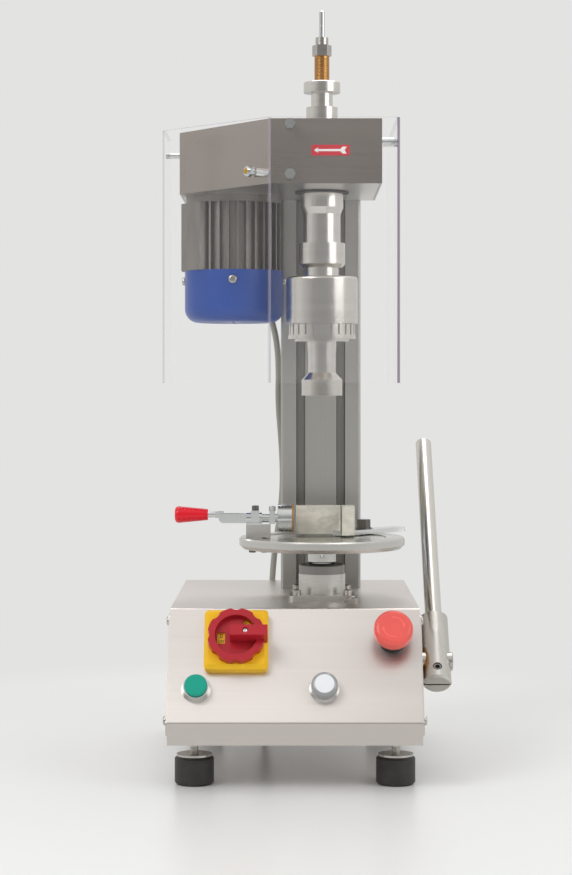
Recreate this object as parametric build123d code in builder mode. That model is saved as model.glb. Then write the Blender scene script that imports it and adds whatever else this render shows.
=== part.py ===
from build123d import *
import math
import os

# Lever capper, modelled in millimetres.
# The origin lies on the table it stands on, in the middle of its outline seen from above.
# +X is the operator's right, -Y faces the operator and +Z is up.

# Fits
running_gap = 0.05
seat_gap = 0.05
face_gap = 0.3
swing_gap = 0.6

# Proportions of screws, in shank diameters
cap_head = 1.5
cap_socket = 0.8
cap_socket_depth = 0.5
cap_bevel = 0.08
dome_head = 1.9
dome_height = 0.6
dome_round = 0.4

# Bevels
edge_bevel = 1.0
cap_edge_bevel = 1.5

# Side to side reach from the console's middle
lever_reach = 167.0
guard_left = 142.4
guard_right = 107.4
console_x = (guard_left - lever_reach) / 2

# Console
base_width = 256.0
base_depth = 374.0
base_bottom = 46.0
base_top = 176.5
front_upright = 22.6
panel_lean = 30.0
sheet = 2.0
sheet_bend = 4.0
floor_flange = 12.0
cover_sheet = 2.0
cover_margin = 8.0
cover_corner = 4.0
cover_screw_inset = 18.0
cover_screw_high = 15.0
cover_screw_low = 22.0
cover_screw = 5.0
screw_end = 6.0

# Feet
foot_diameter = 40.0
foot_height = 31.0
foot_chamfer = 2.5
foot_plate = 2.0
foot_plate_diameter = 36.0
foot_inset = 25.5
foot_x = base_width / 2 - foot_inset
foot_y = 145.0
foot_stud = 8.0
foot_nut_across = 13.0
foot_nut_height = 6.5

# Column of slotted profile
column_size = 90.0
column_front = 82.0
column_top = 672.0
column_corner = 3.0
column_cap_height = 4.0
slot_pitch = 45.0
slot_mouth = 10.0
slot_lip = 4.5
slot_width = 20.0
slot_shoulder = 4.5
slot_depth = 15.0
slot_floor = 9.0
core_bore = 8.5
core_window = 30.0
column_bolt = 8.0
column_bolt_depth = 24.0

# Spindle and lift axis
spindle_x = console_x + 29.0
spindle_y = -22.0

# Frame plate and bearing cheeks inside the console
frame_plate = 8.0
frame_plate_left = 57.0
frame_plate_right = 62.0
frame_plate_front = 96.0
frame_bolt = 8.0
frame_bolt_across = 13.0
frame_bolt_head = 5.3
frame_bolt_at = (console_x + 58.9, -74.0)
bush_tail = 8.0
shaft_tail = 6.0
cheek_gap = 44.0
cheek = 10.0
cheek_width = 44.0

# Lift guide on the console
guide_flange = 70.0
guide_flange_height = 5.5
guide_flange_corner = 5.0
guide_screw_pitch = 54.0
guide_screw = 6.0
guide_body = 50.0
guide_body_top = 203.2
guide_spigot = 40.0
guide_bottom = 150.0
guide_bush = 28.0
guide_cap_diameter = 49.0
guide_cap_top = 213.0
wiper_diameter = 30.0
wiper_seat = 207.0
wiper_lip = 0.8

# Lift shaft with its rack, and the pinion
lift_diameter = 22.0
lift_bottom = 52.0
lift_seat = 8.0
gear_module = 2.0
pinion_teeth = 30
pressure_angle = 20.0
backlash = 0.16
rack_flat = 9.5
rack_gaps_below = 9
rack_gaps_above = 3
pinion_width = 12.0
pinion_hub = 34.0
pinion_hub_width = 28.0
flank_steps = 4

# Lever
lever_z = 113.0
lever_lean = 44.0
lever_shaft_diameter = 20.0
lever_bush = 26.0
lever_bush_flange = 34.0
lever_bush_rim = 3.0
hub_diameter = 30.0
hub_side_gap = 6.5
hub_x = console_x + base_width / 2 + hub_side_gap + hub_diameter / 2
hub_below = 30.0
hub_above = 60.0
hub_chamfer = 4.0
hub_slit = 2.0
hub_socket = 16.0
clamp_screw = 6.0
clamp_screw_drop = 17.0
clamp_seat_height = 8.0
clamp_screw_end = 3.0
grub_rise = 33.0
grub_diameter = 6.0
grub_sink = 0.5
rod_diameter = 18.0
rod_reach = 314.5
rod_chamfer = 2.0

# Bottle table
table_diameter = 178.0
table_bottom = 230.5
table_thickness = 12.0
table_chamfer = 4.0
table_edge = 1.5
table_recess_diameter = 139.0
table_recess = 1.5
collar_diameter = 30.0
collar_bottom = 215.0
collar_screw = 5.0

# Push clamp on the table
clamp_axis_z = 262.5
block_left = console_x - 52.5
block_right = console_x - 26.5
block_width = 22.0
block_top = 255.5
block_screw = 5.0
block_screw_inset = 6.5
block_screw_depth = 10.0
clamp_foot = 2.5
clamp_foot_width = 20.0
saddle_start = 5.5
saddle_length = 8.5
saddle_width = 16.0
saddle_top = 271.0
saddle_screw = 5.0
saddle_screw_length = 2.5
barrel_length = 17.0
barrel_diameter = 13.6
lug_thickness = 2.5
lug_radius = 5.0
rivet_head = 1.0
cheek_plate = 2.0
link_thickness = 3.0
link_radius = 2.2
link_length = 15.0
crank = 5.0
pivot_x = console_x - 77.0
rivet = 2.6
pivot_boss = 4.5
crank_boss = 3.0
plunger_diameter = 9.5
plunger_tail = 3.5
holder_length = 6.0
holder_width = 11.0
holder_above = 8.0
holder_below = 6.0
holder_neck = 3.0
pad_left = console_x - 18.5
pad_length = 14.8
pad_face = 2.6
pad_diameter = 31.0
arm_height = 3.8
arm_depth = 7.0
arm_web = 6.0
stem_diameter = 7.0
stem_into_grip = 26.0
arm_end = console_x - 86.0
grip_tip = console_x - 129.4
grip_root = console_x - 93.8
grip_small = 12.0
grip_large = 19.0
grip_round = 4.0

# Bottle stop and its bar
stop_corner_x = 21.0
stop_corner_y = 21.0
stop_length = 49.0
stop_reach = 22.0
stop_wall = 14.5
stop_height = 30.5
stop_lift = 1.5
stop_round = 3.0
bar_angle = 45.0
bar_width = 20.0
bar_thickness = 5.0
bar_start = 24.0
bar_end = 124.4
bar_slot = 9.0
bar_bolt = 8.0
bar_bolt_across = 13.0
bar_bolt_head = 8.6
bar_bolt_at = 66.0
bar_bolt_depth = 7.0
bar_washer = 17.0
bar_washer_height = 2.0
stop_out = 6.0
stop_in = 7.0
bar_slot_spare = 4.0

# Head
head_bottom = 614.2
head_top = 681.3
head_left = 126.0
head_right = 90.0
head_front = -116.0
head_front_left = 26.0
head_side_start = 9.0
head_rear = 125.0
head_column_gap = 0.5
head_plate = 12.0
back_plate = 10.0
back_plate_width = 80.0
arm_thickness = 8.0
arm_width = 66.0
head_screw = 8.0
head_screw_z = (640.0, 658.0)
tee_nut = 18.0
tee_nut_thickness = 4.0
boss_screw = 4.0
boss_screw_ring = 45.5

# Spindle
spindle_diameter = 25.0
spindle_neck = 23.5
spindle_bore = 6.6
spindle_bottom = 576.0
spindle_top = 732.0
lower_bearing = 47.0
upper_bearing = 37.0
upper_bearing_width = 7.0
boss_diameter = 34.0
boss_top = 704.6
boss_flange = 54.0
boss_flange_height = 9.0
seal_diameter = 58.0
seal_height = 2.0
nose_diameter = 46.0
sleeve_diameter = 40.0
nose_bottom = 596.8
sleeve_taper_end = 589.4
sleeve_bottom = 558.4
clutch_shank = 20.0
clutch_shank_top = 574.0
sleeve_screw = 5.0
sleeve_screw_z = 582.0
lock_ball = 4.0
lock_ball_z = 548.0
clutch_collar_diameter = 50.0
clutch_collar_bottom = 532.1
clutch_collar_chamfer = 3.8
neck_diameter = 36.0
clutch_diameter = 77.0
clutch_top = 522.3
clutch_bottom = 471.6
clutch_round = 3.0
clutch_hole = 3.2
clutch_hole_z = 487.6
clutch_recess_depth = 22.0
clutch_rotor = 60.0
ring_diameter = 70.8
ring_bottom = 459.8
ring_flange_diameter = 72.4
ring_flange_bottom = 455.2
ring_notches = 24
ring_notch = 4.0
chuck_disc_diameter = 58.0
chuck_disc_bottom = 452.6
hub_neck_diameter = 31.0
hub_neck_bottom = 443.0
chuck_neck_diameter = 29.6
chuck_cone_top = 419.3
chuck_diameter = 43.8
chuck_cone_bottom = 411.6
chuck_bottom = 394.6
chuck_bore = 34.0
chuck_bore_depth = 14.0
chuck_lead = 1.5
top_collar_diameter = 39.5
top_collar_bottom = 720.5
thread_diameter = 16.0
thread_seat = 10.0
thread_reach = 51.5
thread_top = top_collar_bottom + thread_reach
thread_spigot = 10.0
spigot_reach = 6.0
thread_end = thread_top + spigot_reach
jam_nut_across = 18.0
jam_nut_below = 12.0
jam_nut_bottom = thread_top - jam_nut_below
jam_nut = 5.8
slotted_nut_diameter = 14.0
slotted_nut_slot = 2.0
rod_top = 809.0
stop_rod_diameter = 6.0
set_screw_hole = 5.0

# Belt drive
spindle_pulley_radius = 31.8
motor_pulley_radius = 15.9
pulley_bottom = 634.0
pulley_height = 20.0
pulley_flange = 1.5
pulley_flange_lip = 3.0
belt_width = 15.0
belt_thickness = 2.4

# Motor
motor_x = console_x - 67.6
motor_y = 47.0
motor_core = 94.0
motor_fin_reach = 107.0
motor_fins = 32
motor_fin = 2.4
motor_bottom = 532.0
motor_pad_width = 44.0
motor_pad_reach = 54.6
motor_flange = 8.0
motor_screw = 6.0
motor_screw_pitch = 58.0
motor_screw_depth = 14.0
motor_shaft_hole = 20.0
rotor_length = 48.0
motor_shaft = 14.0
motor_shaft_top = 656.0
motor_bearing = 35.0
motor_bearing_width = 11.0
rotor_diameter = 58.0
rotor_clear = 2.0
end_shield = 16.0
fan_diameter = 88.0
fan_hub = 30.0
fan_blades = 8
fan_height = 14.0
fan_cover_diameter = 109.4
fan_cover_bottom = 475.0
fan_cover_sheet = 1.5
fan_cover_round = 15.0
fan_screw = 5.0
fan_screw_z = 521.0
fan_screw_length = 10.0
box_width = 76.0
box_depth = 40.0
box_height = 54.0
box_top = 606.0
box_shift = 8.0
box_round = 4.0
box_wall = 3.0
fan_slots = 16
fan_slot = 4.0
fan_slot_length = 22.0
fan_slot_radius = 27.0
fan_bottom = 488.0

# Motor cable
cable_diameter = 7.0
gland_across = 19.0
gland_hex = 6.0
gland_dome = 9.0
gland_dome_diameter = 16.0
gland_round = 3.0
gland_thread = 12.0
gland_end = 10.0
box_gland_at = (console_x - 32.0, 125.0)
base_gland_place = (console_x - 35.0, 132.0)

# Clear guard
guard_bottom = 408.0
guard_top = 679.0
guard_front = -146.0
guard_corner = -26.5
guard_left_front = -31.0
guard_left_rear = 64.0
guard_right_rear = 92.0
guard_wall = 4.0
guard_bend = 6.0
spacer_diameter = 10.0
slim_spacer = 6.0
guard_bolt = 6.0
guard_nut_across = 10.0
guard_nut = 5.0
guard_bolt_end = 2.0
guard_bolt_grip = 6.0
guard_front_bolt_x = console_x - 5.0
guard_front_bolt_z = (620.6, 672.0)
guard_side_bolt = 25.0
guard_side_bolt_z = 625.0
guard_pin_z = 659.0
guard_left_pin_y = 35.0
guard_right_pin_y = -95.0

# Controls on the sloped panel, as places across and up the slope
panel_hole = 22.5
switch_inset = 68.4
switch_up = 86.0
start_inset = 28.4
start_up = 36.0
lamp_inset = 98.4
estop_inset = 28.7
estop_up = 90.0
switch_at = (switch_inset - base_width / 2, switch_up)
start_at = (start_inset - base_width / 2, start_up)
lamp_at = (base_width / 2 - lamp_inset, start_up)
estop_at = (base_width / 2 - estop_inset, estop_up)
plate_size = 65.0
plate_height = 13.0
plate_bevel = 4.0
plate_corner = 5.0
handle_diameter = 58.0
handle_height = 9.0
handle_scallops = 8
handle_scallop = 9.0
handle_scallop_depth = 2.0
handle_pocket = 43.0
handle_floor = 2.0
handle_bar = 11.0
handle_bar_height = 21.0
handle_tip = 32.0
handle_tail = 6.0
handle_screw_at = 9.6
handle_screw_hole = 5.5
handle_screw_depth = 3.0
off_window_at = (-15.2, -1.2)
off_window = (8.0, 12.0)
on_window_at = (12.0, 14.0)
on_window = (12.0, 5.0)
on_window_turn = -40.0
switch_axle = 8.0
switch_box = 48.0
switch_box_depth = 42.0
switch_axle_depth = 20.0
bezel_diameter = 30.0
bezel_top_diameter = 26.0
bezel_height = 8.0
button_diameter = 23.0
button_proud = 12.0
button_cap = 7.4
button_stem = 8.0
lamp_bezel_height = 5.0
lens_diameter = 27.0
lens_proud = 15.0
lens_round = 4.0
lens_spigot = 12.0
estop_diameter = 40.0
estop_proud = 32.0
estop_cap = 12.0
estop_round = 6.0
estop_stem = 14.0
estop_collar = 30.0
estop_collar_height = 14.0
block_size = 30.0
block_depth = 40.0
stem_pocket = 16.0
stem_depth = 9.0

# Places worked out from the values above
front_y = -base_depth / 2
rear_y = base_depth / 2
left_x = console_x - base_width / 2
right_x = console_x + base_width / 2
panel_foot_z = base_bottom + front_upright
panel_run = (base_top - panel_foot_z) * math.tan(math.radians(panel_lean))
panel_head_y = front_y + panel_run
panel_cos = math.cos(math.radians(panel_lean))
panel_sin = math.sin(math.radians(panel_lean))
panel = Plane(origin=(console_x, front_y, panel_foot_z), x_dir=(1, 0, 0), z_dir=(0, -panel_cos, panel_sin))
console_corners = [
    (front_y, base_bottom),
    (front_y, panel_foot_z),
    (panel_head_y, base_top),
    (rear_y, base_top),
    (rear_y, base_bottom),
]
cover_screw_spots = [
    (front_y + cover_screw_inset, base_bottom + cover_screw_low),
    (rear_y - cover_screw_inset, base_bottom + cover_screw_low),
    (panel_head_y + cover_screw_inset, base_top - cover_screw_high),
    (rear_y - cover_screw_inset, base_top - cover_screw_high),
]
column_y = column_front + column_size / 2
column_place = (spindle_x, column_y)
spindle_place = (spindle_x, spindle_y)
motor_place = (motor_x, motor_y)
frame_top = base_top - sheet
frame_bottom = frame_top - frame_plate
table_top = table_bottom + table_thickness

pitch_radius = gear_module * pinion_teeth / 2
rack_pitch_line = rack_flat - gear_module
tooth_pitch = math.pi * gear_module
lever_y = spindle_y - rack_pitch_line - pitch_radius
lever_axis = Plane(origin=(0, lever_y, lever_z), x_dir=(0, 1, 0), z_dir=(1, 0, 0))
lean_cos = math.cos(math.radians(lever_lean))
lean_sin = math.sin(math.radians(lever_lean))
hub = Plane(origin=(hub_x, lever_y, lever_z), x_dir=(1, 0, 0), z_dir=(0, lean_sin, lean_cos))
hub_line = Axis(hub.origin, hub.z_dir)
clamp_seat = Plane(
    origin=hub.from_local_coords((0, -clamp_seat_height, -clamp_screw_drop)),
    x_dir=(1, 0, 0),
    z_dir=(0, -lean_cos, lean_sin),
)
clamp_screw_length = clamp_seat_height + hub_diameter / 2 - clamp_screw_end
grub_seat = Plane(
    origin=hub.from_local_coords((rod_diameter / 2, 0, grub_rise)),
    x_dir=(0, 1, 0),
    z_dir=(1, 0, 0),
)
grub_length = (hub_diameter - rod_diameter) / 2 - grub_sink
shaft_left = spindle_x - cheek_gap / 2 - cheek - shaft_tail
bush_spans = [
    (spindle_x - cheek_gap / 2 - cheek, spindle_x - cheek_gap / 2),
    (spindle_x + cheek_gap / 2, spindle_x + cheek_gap / 2 + cheek),
    (right_x - bush_tail, right_x + cover_sheet),
]
stud_length = base_bottom + sheet + foot_nut_height + foot_plate - (foot_height - foot_plate)

# Rack and pinion teeth
pressure_tan = math.tan(math.radians(pressure_angle))
rack_gap_half = (tooth_pitch + backlash) / 4
rack_low = lift_bottom
rack_high = lever_z + rack_gaps_above * tooth_pitch
rack_gap_spots = [
    (spindle_y - rack_pitch_line, lever_z + (step + 0.5) * tooth_pitch)
    for step in range(-rack_gaps_below, rack_gaps_above)
]
tip_radius = pitch_radius + gear_module
base_radius = pitch_radius * math.cos(math.radians(pressure_angle))
tooth_half = (tooth_pitch - backlash) / 4 / pitch_radius


def involute(angle):
    """Involute of a pressure angle in radians."""
    return math.tan(angle) - angle


def tooth_flank():
    """Points of one flank of a pinion tooth, from its foot to its tip."""
    points = []
    for step in range(flank_steps + 1):
        radius = base_radius + (tip_radius - base_radius) * step / flank_steps
        pressure = math.acos(base_radius / radius)
        half = tooth_half + involute(math.radians(pressure_angle)) - involute(pressure)
        points.append((radius * math.cos(half), radius * math.sin(half)))
    foot_x, foot_y = points[0]
    return [(foot_x - gear_module, foot_y)] + points


tooth_outline = [(x, -y) for x, y in tooth_flank()] + tooth_flank()[::-1]

# Push clamp, seen from the front: X along its plunger, Z up
clamp_plane = Plane(origin=(0, spindle_y, 0), x_dir=(1, 0, 0), z_dir=(0, -1, 0))
pivot = (pivot_x, clamp_axis_z)
crank_pin = (pivot_x + crank, clamp_axis_z)
link_pin_x = pivot_x + crank + link_length
link_pin = (link_pin_x, clamp_axis_z)
cheek_inner = link_thickness / 2 + face_gap
lug_inner = cheek_inner + cheek_plate + face_gap
lug_reach = block_left + saddle_start - pivot_x
plunger_line = Plane(origin=(0, spindle_y, clamp_axis_z), x_dir=(0, 1, 0), z_dir=(1, 0, 0))
stem_line = Plane(origin=(0, spindle_y, clamp_axis_z + arm_height), x_dir=(0, 1, 0), z_dir=(1, 0, 0))
block_screw_spots = [
    (block_left + block_screw_inset, spindle_y),
    (block_right - block_screw_inset, spindle_y),
]
holder_left = pad_left - holder_neck - holder_length

# Bottle stop, measured from the spindle axis
stop_x = spindle_x + stop_corner_x
stop_y = spindle_y + stop_corner_y
stop_bottom = table_top + stop_lift
bar_bottom = table_top + running_gap
bar_line = Plane(
    origin=(spindle_x, spindle_y, bar_bottom),
    x_dir=(math.cos(math.radians(bar_angle)), math.sin(math.radians(bar_angle)), 0),
    z_dir=(0, 0, 1),
)

# Head
notch_x = spindle_x - column_size / 2 - head_column_gap
head_outline = [
    (console_x - head_left, head_rear),
    (console_x - head_left, head_side_start),
    (console_x - head_front_left, head_front),
    (console_x + head_right, head_front),
    (console_x + head_right, column_front),
    (notch_x, column_front),
    (notch_x, head_rear),
]
head_inside_top = head_top - sheet - seat_gap
arm_bottom = head_inside_top - arm_thickness
boss_bottom = arm_bottom - boss_flange_height
neck_start = boss_bottom + upper_bearing_width
nose_top = head_bottom - face_gap
rod_bottom = chuck_bottom + chuck_bore_depth
shield_bottom = motor_bottom - end_shield
shield_diameter = fan_cover_diameter - 2 * fan_cover_sheet - 2 * seat_gap
motor_bearing_bottom = head_bottom - motor_bearing_width
motor_flange_diameter = 2 * (motor_pulley_radius + pulley_flange_lip)
rotor_bottom = (motor_bottom + motor_bearing_bottom - rotor_length) / 2
box_front = motor_y + motor_pad_reach
box_bottom = box_top - box_height
box_middle = (motor_x + box_shift, box_front + box_depth / 2)
fan_screw_planes = [
    Plane(
        origin=(
            motor_x + fan_cover_diameter / 2 * math.cos(math.radians(angle)),
            motor_y + fan_cover_diameter / 2 * math.sin(math.radians(angle)),
            fan_screw_z,
        ),
        x_dir=(0, 0, 1),
        z_dir=(math.cos(math.radians(angle)), math.sin(math.radians(angle)), 0),
    )
    for angle in (0, 180, 270)
]
handle_seat = plate_height + face_gap
scallop_ring = handle_diameter / 2 + handle_scallop - handle_scallop_depth
panel_line = Axis(panel.origin, panel.z_dir)

# Guard, along the middle of its sheet
guard_path = [
    (console_x + guard_right - guard_wall / 2, guard_right_rear),
    (console_x + guard_right - guard_wall / 2, guard_front + guard_wall / 2),
    (console_x + guard_corner, guard_front + guard_wall / 2),
    (console_x - guard_left + guard_wall / 2, guard_left_front),
    (console_x - guard_left + guard_wall / 2, guard_left_rear),
]
side_panel = Vector(*guard_path[3]) - Vector(*guard_path[2])
side_spot = Vector(*guard_path[2]) + side_panel.normalized() * guard_side_bolt
side_fixing = Plane(
    origin=(side_spot.X, side_spot.Y, guard_side_bolt_z),
    x_dir=(0, 0, 1),
    z_dir=(-side_panel.Y, side_panel.X, 0),
)
head_slope = Vector(*head_outline[2]) - Vector(*head_outline[1])
head_slope_face = Plane(
    origin=(head_outline[1][0], head_outline[1][1], head_bottom),
    x_dir=(0, 0, 1),
    z_dir=(head_slope.Y, -head_slope.X, 0),
)
front_fixings = [
    Plane(origin=(guard_front_bolt_x, guard_front + guard_wall / 2, z), x_dir=(1, 0, 0), z_dir=(0, -1, 0))
    for z in guard_front_bolt_z
]
right_pin = Plane(
    origin=(console_x + head_right, guard_right_pin_y, guard_pin_z), x_dir=(0, 1, 0), z_dir=(1, 0, 0)
)
left_pin = Plane(
    origin=(console_x - head_left, guard_left_pin_y, guard_pin_z), x_dir=(0, 1, 0), z_dir=(-1, 0, 0)
)
pin_right_length = guard_right - head_right
pin_left_length = guard_left - head_left

# Route of the motor cable, from the terminal box to the gland in the console's floor
cable_route = [
    (console_x - 32, 125, box_top - box_height - gland_hex - gland_dome),
    (console_x - 32, 125, 512),
    (console_x - 28, 142, 484),
    (console_x - 22, 168, 462),
    (console_x - 19, 183, 430),
    (console_x - 20, 187, 385),
    (console_x - 16, 186, 340),
    (console_x - 14, 187, 295),
    (console_x - 17, 190, 255),
    (console_x - 23, 195, 220),
    (console_x - 27, 199, 180),
    (console_x - 28, 200, 135),
    (console_x - 31, 201, 95),
    (console_x - 33, 201, 58),
    (console_x - 34, 200, 32),
    (console_x - 35, 186, 11),
    (console_x - 35, 160, 6.5),
    (console_x - 35, 140, 9),
    (console_x - 35, 132, 19),
    (console_x - 35, 132, base_bottom - gland_hex - gland_dome),
]


def hexagon(across):
    """Corner radius of a hexagon that is so wide across its flats."""
    return across / math.sqrt(3)


def cap_screw(size, length):
    """Socket cap screw with its head's seat at the origin and its shank pointing down."""
    with BuildPart() as screw:
        with BuildSketch(Plane.XY):
            Circle(size * cap_head / 2)
        extrude(amount=size)
        chamfer(screw.edges().group_by(Axis.Z)[-1], length=size * cap_bevel)
        with BuildSketch(Plane.XY.offset(size)):
            RegularPolygon(hexagon(size * cap_socket), 6)
        extrude(amount=-size * cap_socket_depth, mode=Mode.SUBTRACT)
        with BuildSketch(Plane.XY):
            Circle(size / 2)
        extrude(amount=-length)
    return screw.part


def dome_screw(size, length):
    """Button head screw with its head's seat at the origin and its shank pointing down."""
    with BuildPart() as screw:
        with BuildSketch(Plane.XY):
            Circle(size * dome_head / 2)
        extrude(amount=size * dome_height)
        fillet(screw.edges().group_by(Axis.Z)[-1], radius=size * dome_round)
        with BuildSketch(Plane.XY):
            Circle(size / 2)
        extrude(amount=-length)
    return screw.part


def hex_bolt(size, across, height, length):
    """Hexagon bolt with its head's seat at the origin and its shank pointing down."""
    with BuildPart() as bolt:
        with BuildSketch(Plane.XY):
            RegularPolygon(hexagon(across), 6)
        extrude(amount=height)
        with BuildSketch(Plane.XY):
            Circle(size / 2)
        extrude(amount=-length)
    return bolt.part


def hex_nut(size, across, height):
    """Hexagon nut standing on the origin, bored to clear its thread."""
    with BuildPart() as nut:
        with BuildSketch(Plane.XY):
            RegularPolygon(hexagon(across), 6)
            Circle(size / 2 + seat_gap, mode=Mode.SUBTRACT)
        extrude(amount=height)
    return nut.part


def lathe(place, *profile):
    """Round piece on an upright axis, turned from its half profile of (radius, height) points."""
    with BuildPart() as piece:
        with BuildSketch(Plane(origin=(place[0], place[1], 0), x_dir=(1, 0, 0), z_dir=(0, -1, 0))):
            with BuildLine():
                Polyline(*profile, close=True)
            make_face()
        revolve(axis=Axis((place[0], place[1], 0), (0, 0, 1)))
    return piece.part


# Console shell, folded from sheet and open below
with BuildPart() as base_shell:
    with BuildSketch(Plane.YZ.offset(left_x)):
        with BuildLine():
            Polyline(*console_corners, close=True)
        make_face()
    extrude(amount=base_width)
    folds = base_shell.edges().filter_by(Axis.X).sort_by(Axis.Z)[2:]
    fillet(folds, radius=sheet_bend)
    offset(amount=-sheet, openings=base_shell.faces().sort_by(Axis.Z)[0])
    with BuildSketch(panel):
        with Locations(start_at, lamp_at, estop_at):
            Circle(panel_hole / 2)
        with Locations(switch_at):
            Circle(switch_axle / 2 + face_gap)
    extrude(amount=-2 * sheet, mode=Mode.SUBTRACT)
    with BuildSketch(Plane.XY.offset(base_top)):
        with Locations(spindle_place):
            Circle(guide_spigot / 2 + seat_gap)
            with GridLocations(guide_screw_pitch, guide_screw_pitch, 2, 2):
                Circle(guide_screw / 2 + seat_gap)
        with Locations(column_place):
            with GridLocations(slot_pitch, slot_pitch, 2, 2):
                Circle(column_bolt / 2 + seat_gap)
        with Locations(frame_bolt_at):
            Circle(frame_bolt / 2 + seat_gap)
    extrude(amount=-2 * sheet, mode=Mode.SUBTRACT)
    with BuildSketch(Plane.YZ.offset(right_x)):
        with Locations((lever_y, lever_z)):
            Circle(lever_bush / 2 + seat_gap)
    extrude(amount=-2 * sheet, mode=Mode.SUBTRACT)
    with BuildSketch(Plane.YZ.offset(left_x)):
        with Locations(*cover_screw_spots):
            Circle(cover_screw / 2 + seat_gap)
    extrude(amount=base_width, mode=Mode.SUBTRACT)

# Floor tray that closes the console, with folded side flanges
with BuildPart() as base_floor:
    with BuildSketch(Plane.XY.offset(base_bottom)):
        with Locations((console_x, 0)):
            Rectangle(base_width - 2 * sheet - 2 * seat_gap, base_depth - 2 * sheet - 2 * seat_gap)
    extrude(amount=floor_flange)
    with BuildSketch(Plane.XY.offset(base_bottom + sheet)):
        with Locations((console_x, 0)):
            Rectangle(base_width - 4 * sheet - 2 * seat_gap, base_depth)
    extrude(amount=floor_flange, mode=Mode.SUBTRACT)
    with BuildSketch(Plane.XY.offset(base_bottom)):
        with Locations((console_x, 0)):
            with GridLocations(2 * foot_x, 2 * foot_y, 2, 2):
                Circle(foot_stud / 2 + seat_gap)
        with Locations(base_gland_place):
            Circle(gland_thread / 2 + seat_gap)
    extrude(amount=sheet, mode=Mode.SUBTRACT)

# Rubber feet and the studs that carry them
with BuildPart() as feet:
    with BuildSketch(Plane.XY):
        with Locations((console_x, 0)):
            with GridLocations(2 * foot_x, 2 * foot_y, 2, 2):
                Circle(foot_diameter / 2)
    extrude(amount=foot_height - foot_plate)
    chamfer(feet.edges().filter_by(GeomType.CIRCLE), length=foot_chamfer)

stud_nut = hex_nut(foot_stud, foot_nut_across, foot_nut_height)
with BuildPart() as foot_studs:
    with Locations((console_x, 0, foot_height - foot_plate)):
        with GridLocations(2 * foot_x, 2 * foot_y, 2, 2):
            Cylinder(foot_plate_diameter / 2, foot_plate, align=(Align.CENTER, Align.CENTER, Align.MIN))
            Cylinder(foot_stud / 2, stud_length, align=(Align.CENTER, Align.CENTER, Align.MIN))
    with Locations((console_x, 0, base_bottom - foot_nut_height), (console_x, 0, base_bottom + sheet)):
        with GridLocations(2 * foot_x, 2 * foot_y, 2, 2):
            add(stud_nut)

# Welded frame inside: a plate under the console top with two bearing cheeks
with BuildPart() as inner_frame:
    with BuildSketch(Plane.XY.offset(frame_bottom)):
        with BuildLine():
            Polyline(
                (spindle_x - frame_plate_left, -frame_plate_front),
                (spindle_x + frame_plate_right, -frame_plate_front),
                (spindle_x + frame_plate_right, rear_y - 4 * sheet),
                (spindle_x - frame_plate_left, rear_y - 4 * sheet),
                close=True,
            )
        make_face()
    extrude(amount=frame_plate)
    for side in (-1, 1):
        with BuildSketch(Plane.YZ.offset(spindle_x + side * (cheek_gap + cheek) / 2)):
            with Locations((lever_y, (frame_bottom + lever_z) / 2)):
                Rectangle(cheek_width, frame_bottom - lever_z)
            with Locations((lever_y, lever_z)):
                Circle(cheek_width / 2)
        extrude(amount=cheek / 2, both=True)
    with BuildSketch(Plane.YZ.offset(spindle_x)):
        with Locations((lever_y, lever_z)):
            Circle(lever_bush / 2 + seat_gap)
    extrude(amount=cheek_gap, both=True, mode=Mode.SUBTRACT)
    with BuildSketch(Plane.XY.offset(frame_bottom)):
        with Locations(spindle_place):
            Circle(guide_spigot / 2 + seat_gap)
            with GridLocations(guide_screw_pitch, guide_screw_pitch, 2, 2):
                Circle(guide_screw / 2 + seat_gap)
        with Locations(column_place):
            with GridLocations(slot_pitch, slot_pitch, 2, 2):
                Circle(column_bolt / 2 + seat_gap)
        with Locations(frame_bolt_at):
            Circle(frame_bolt / 2 + seat_gap)
    extrude(amount=frame_plate, mode=Mode.SUBTRACT)

# Side covers, one on each flank, the right one bored for the lever bush
with BuildPart() as side_covers:
    for flank_x, outward in ((left_x, -cover_sheet), (right_x, cover_sheet)):
        with BuildSketch(Plane.YZ.offset(flank_x)) as flank:
            with BuildLine():
                Polyline(*console_corners, close=True)
            make_face()
            offset(amount=-cover_margin, kind=Kind.INTERSECTION, mode=Mode.REPLACE)
            fillet(flank.vertices(), radius=cover_corner)
            with Locations(*cover_screw_spots):
                Circle(cover_screw / 2 + seat_gap, mode=Mode.SUBTRACT)
        extrude(amount=outward)
    with BuildSketch(Plane.YZ.offset(right_x)):
        with Locations((lever_y, lever_z)):
            Circle(lever_bush / 2 + seat_gap)
    extrude(amount=cover_sheet, mode=Mode.SUBTRACT)

# Column of slotted profile, two grooves on each face
with BuildPart() as column:
    with BuildSketch(Plane.XY.offset(base_top)):
        with Locations(column_place):
            RectangleRounded(column_size, column_size, column_corner)
            Rectangle(core_window, core_window, mode=Mode.SUBTRACT)
            with GridLocations(slot_pitch, slot_pitch, 2, 2):
                Circle(core_bore / 2, mode=Mode.SUBTRACT)
            with PolarLocations(0, 4):
                with Locations((column_size / 2, -slot_pitch / 2), (column_size / 2, slot_pitch / 2)):
                    Polygon(
                        (1, slot_mouth / 2),
                        (1, -slot_mouth / 2),
                        (-slot_lip, -slot_mouth / 2),
                        (-slot_lip, -slot_width / 2),
                        (-slot_lip - slot_shoulder, -slot_width / 2),
                        (-slot_depth, -slot_floor / 2),
                        (-slot_depth, slot_floor / 2),
                        (-slot_lip - slot_shoulder, slot_width / 2),
                        (-slot_lip, slot_width / 2),
                        (-slot_lip, slot_mouth / 2),
                        align=None,
                        mode=Mode.SUBTRACT,
                    )
    extrude(amount=column_top - base_top)

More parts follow.
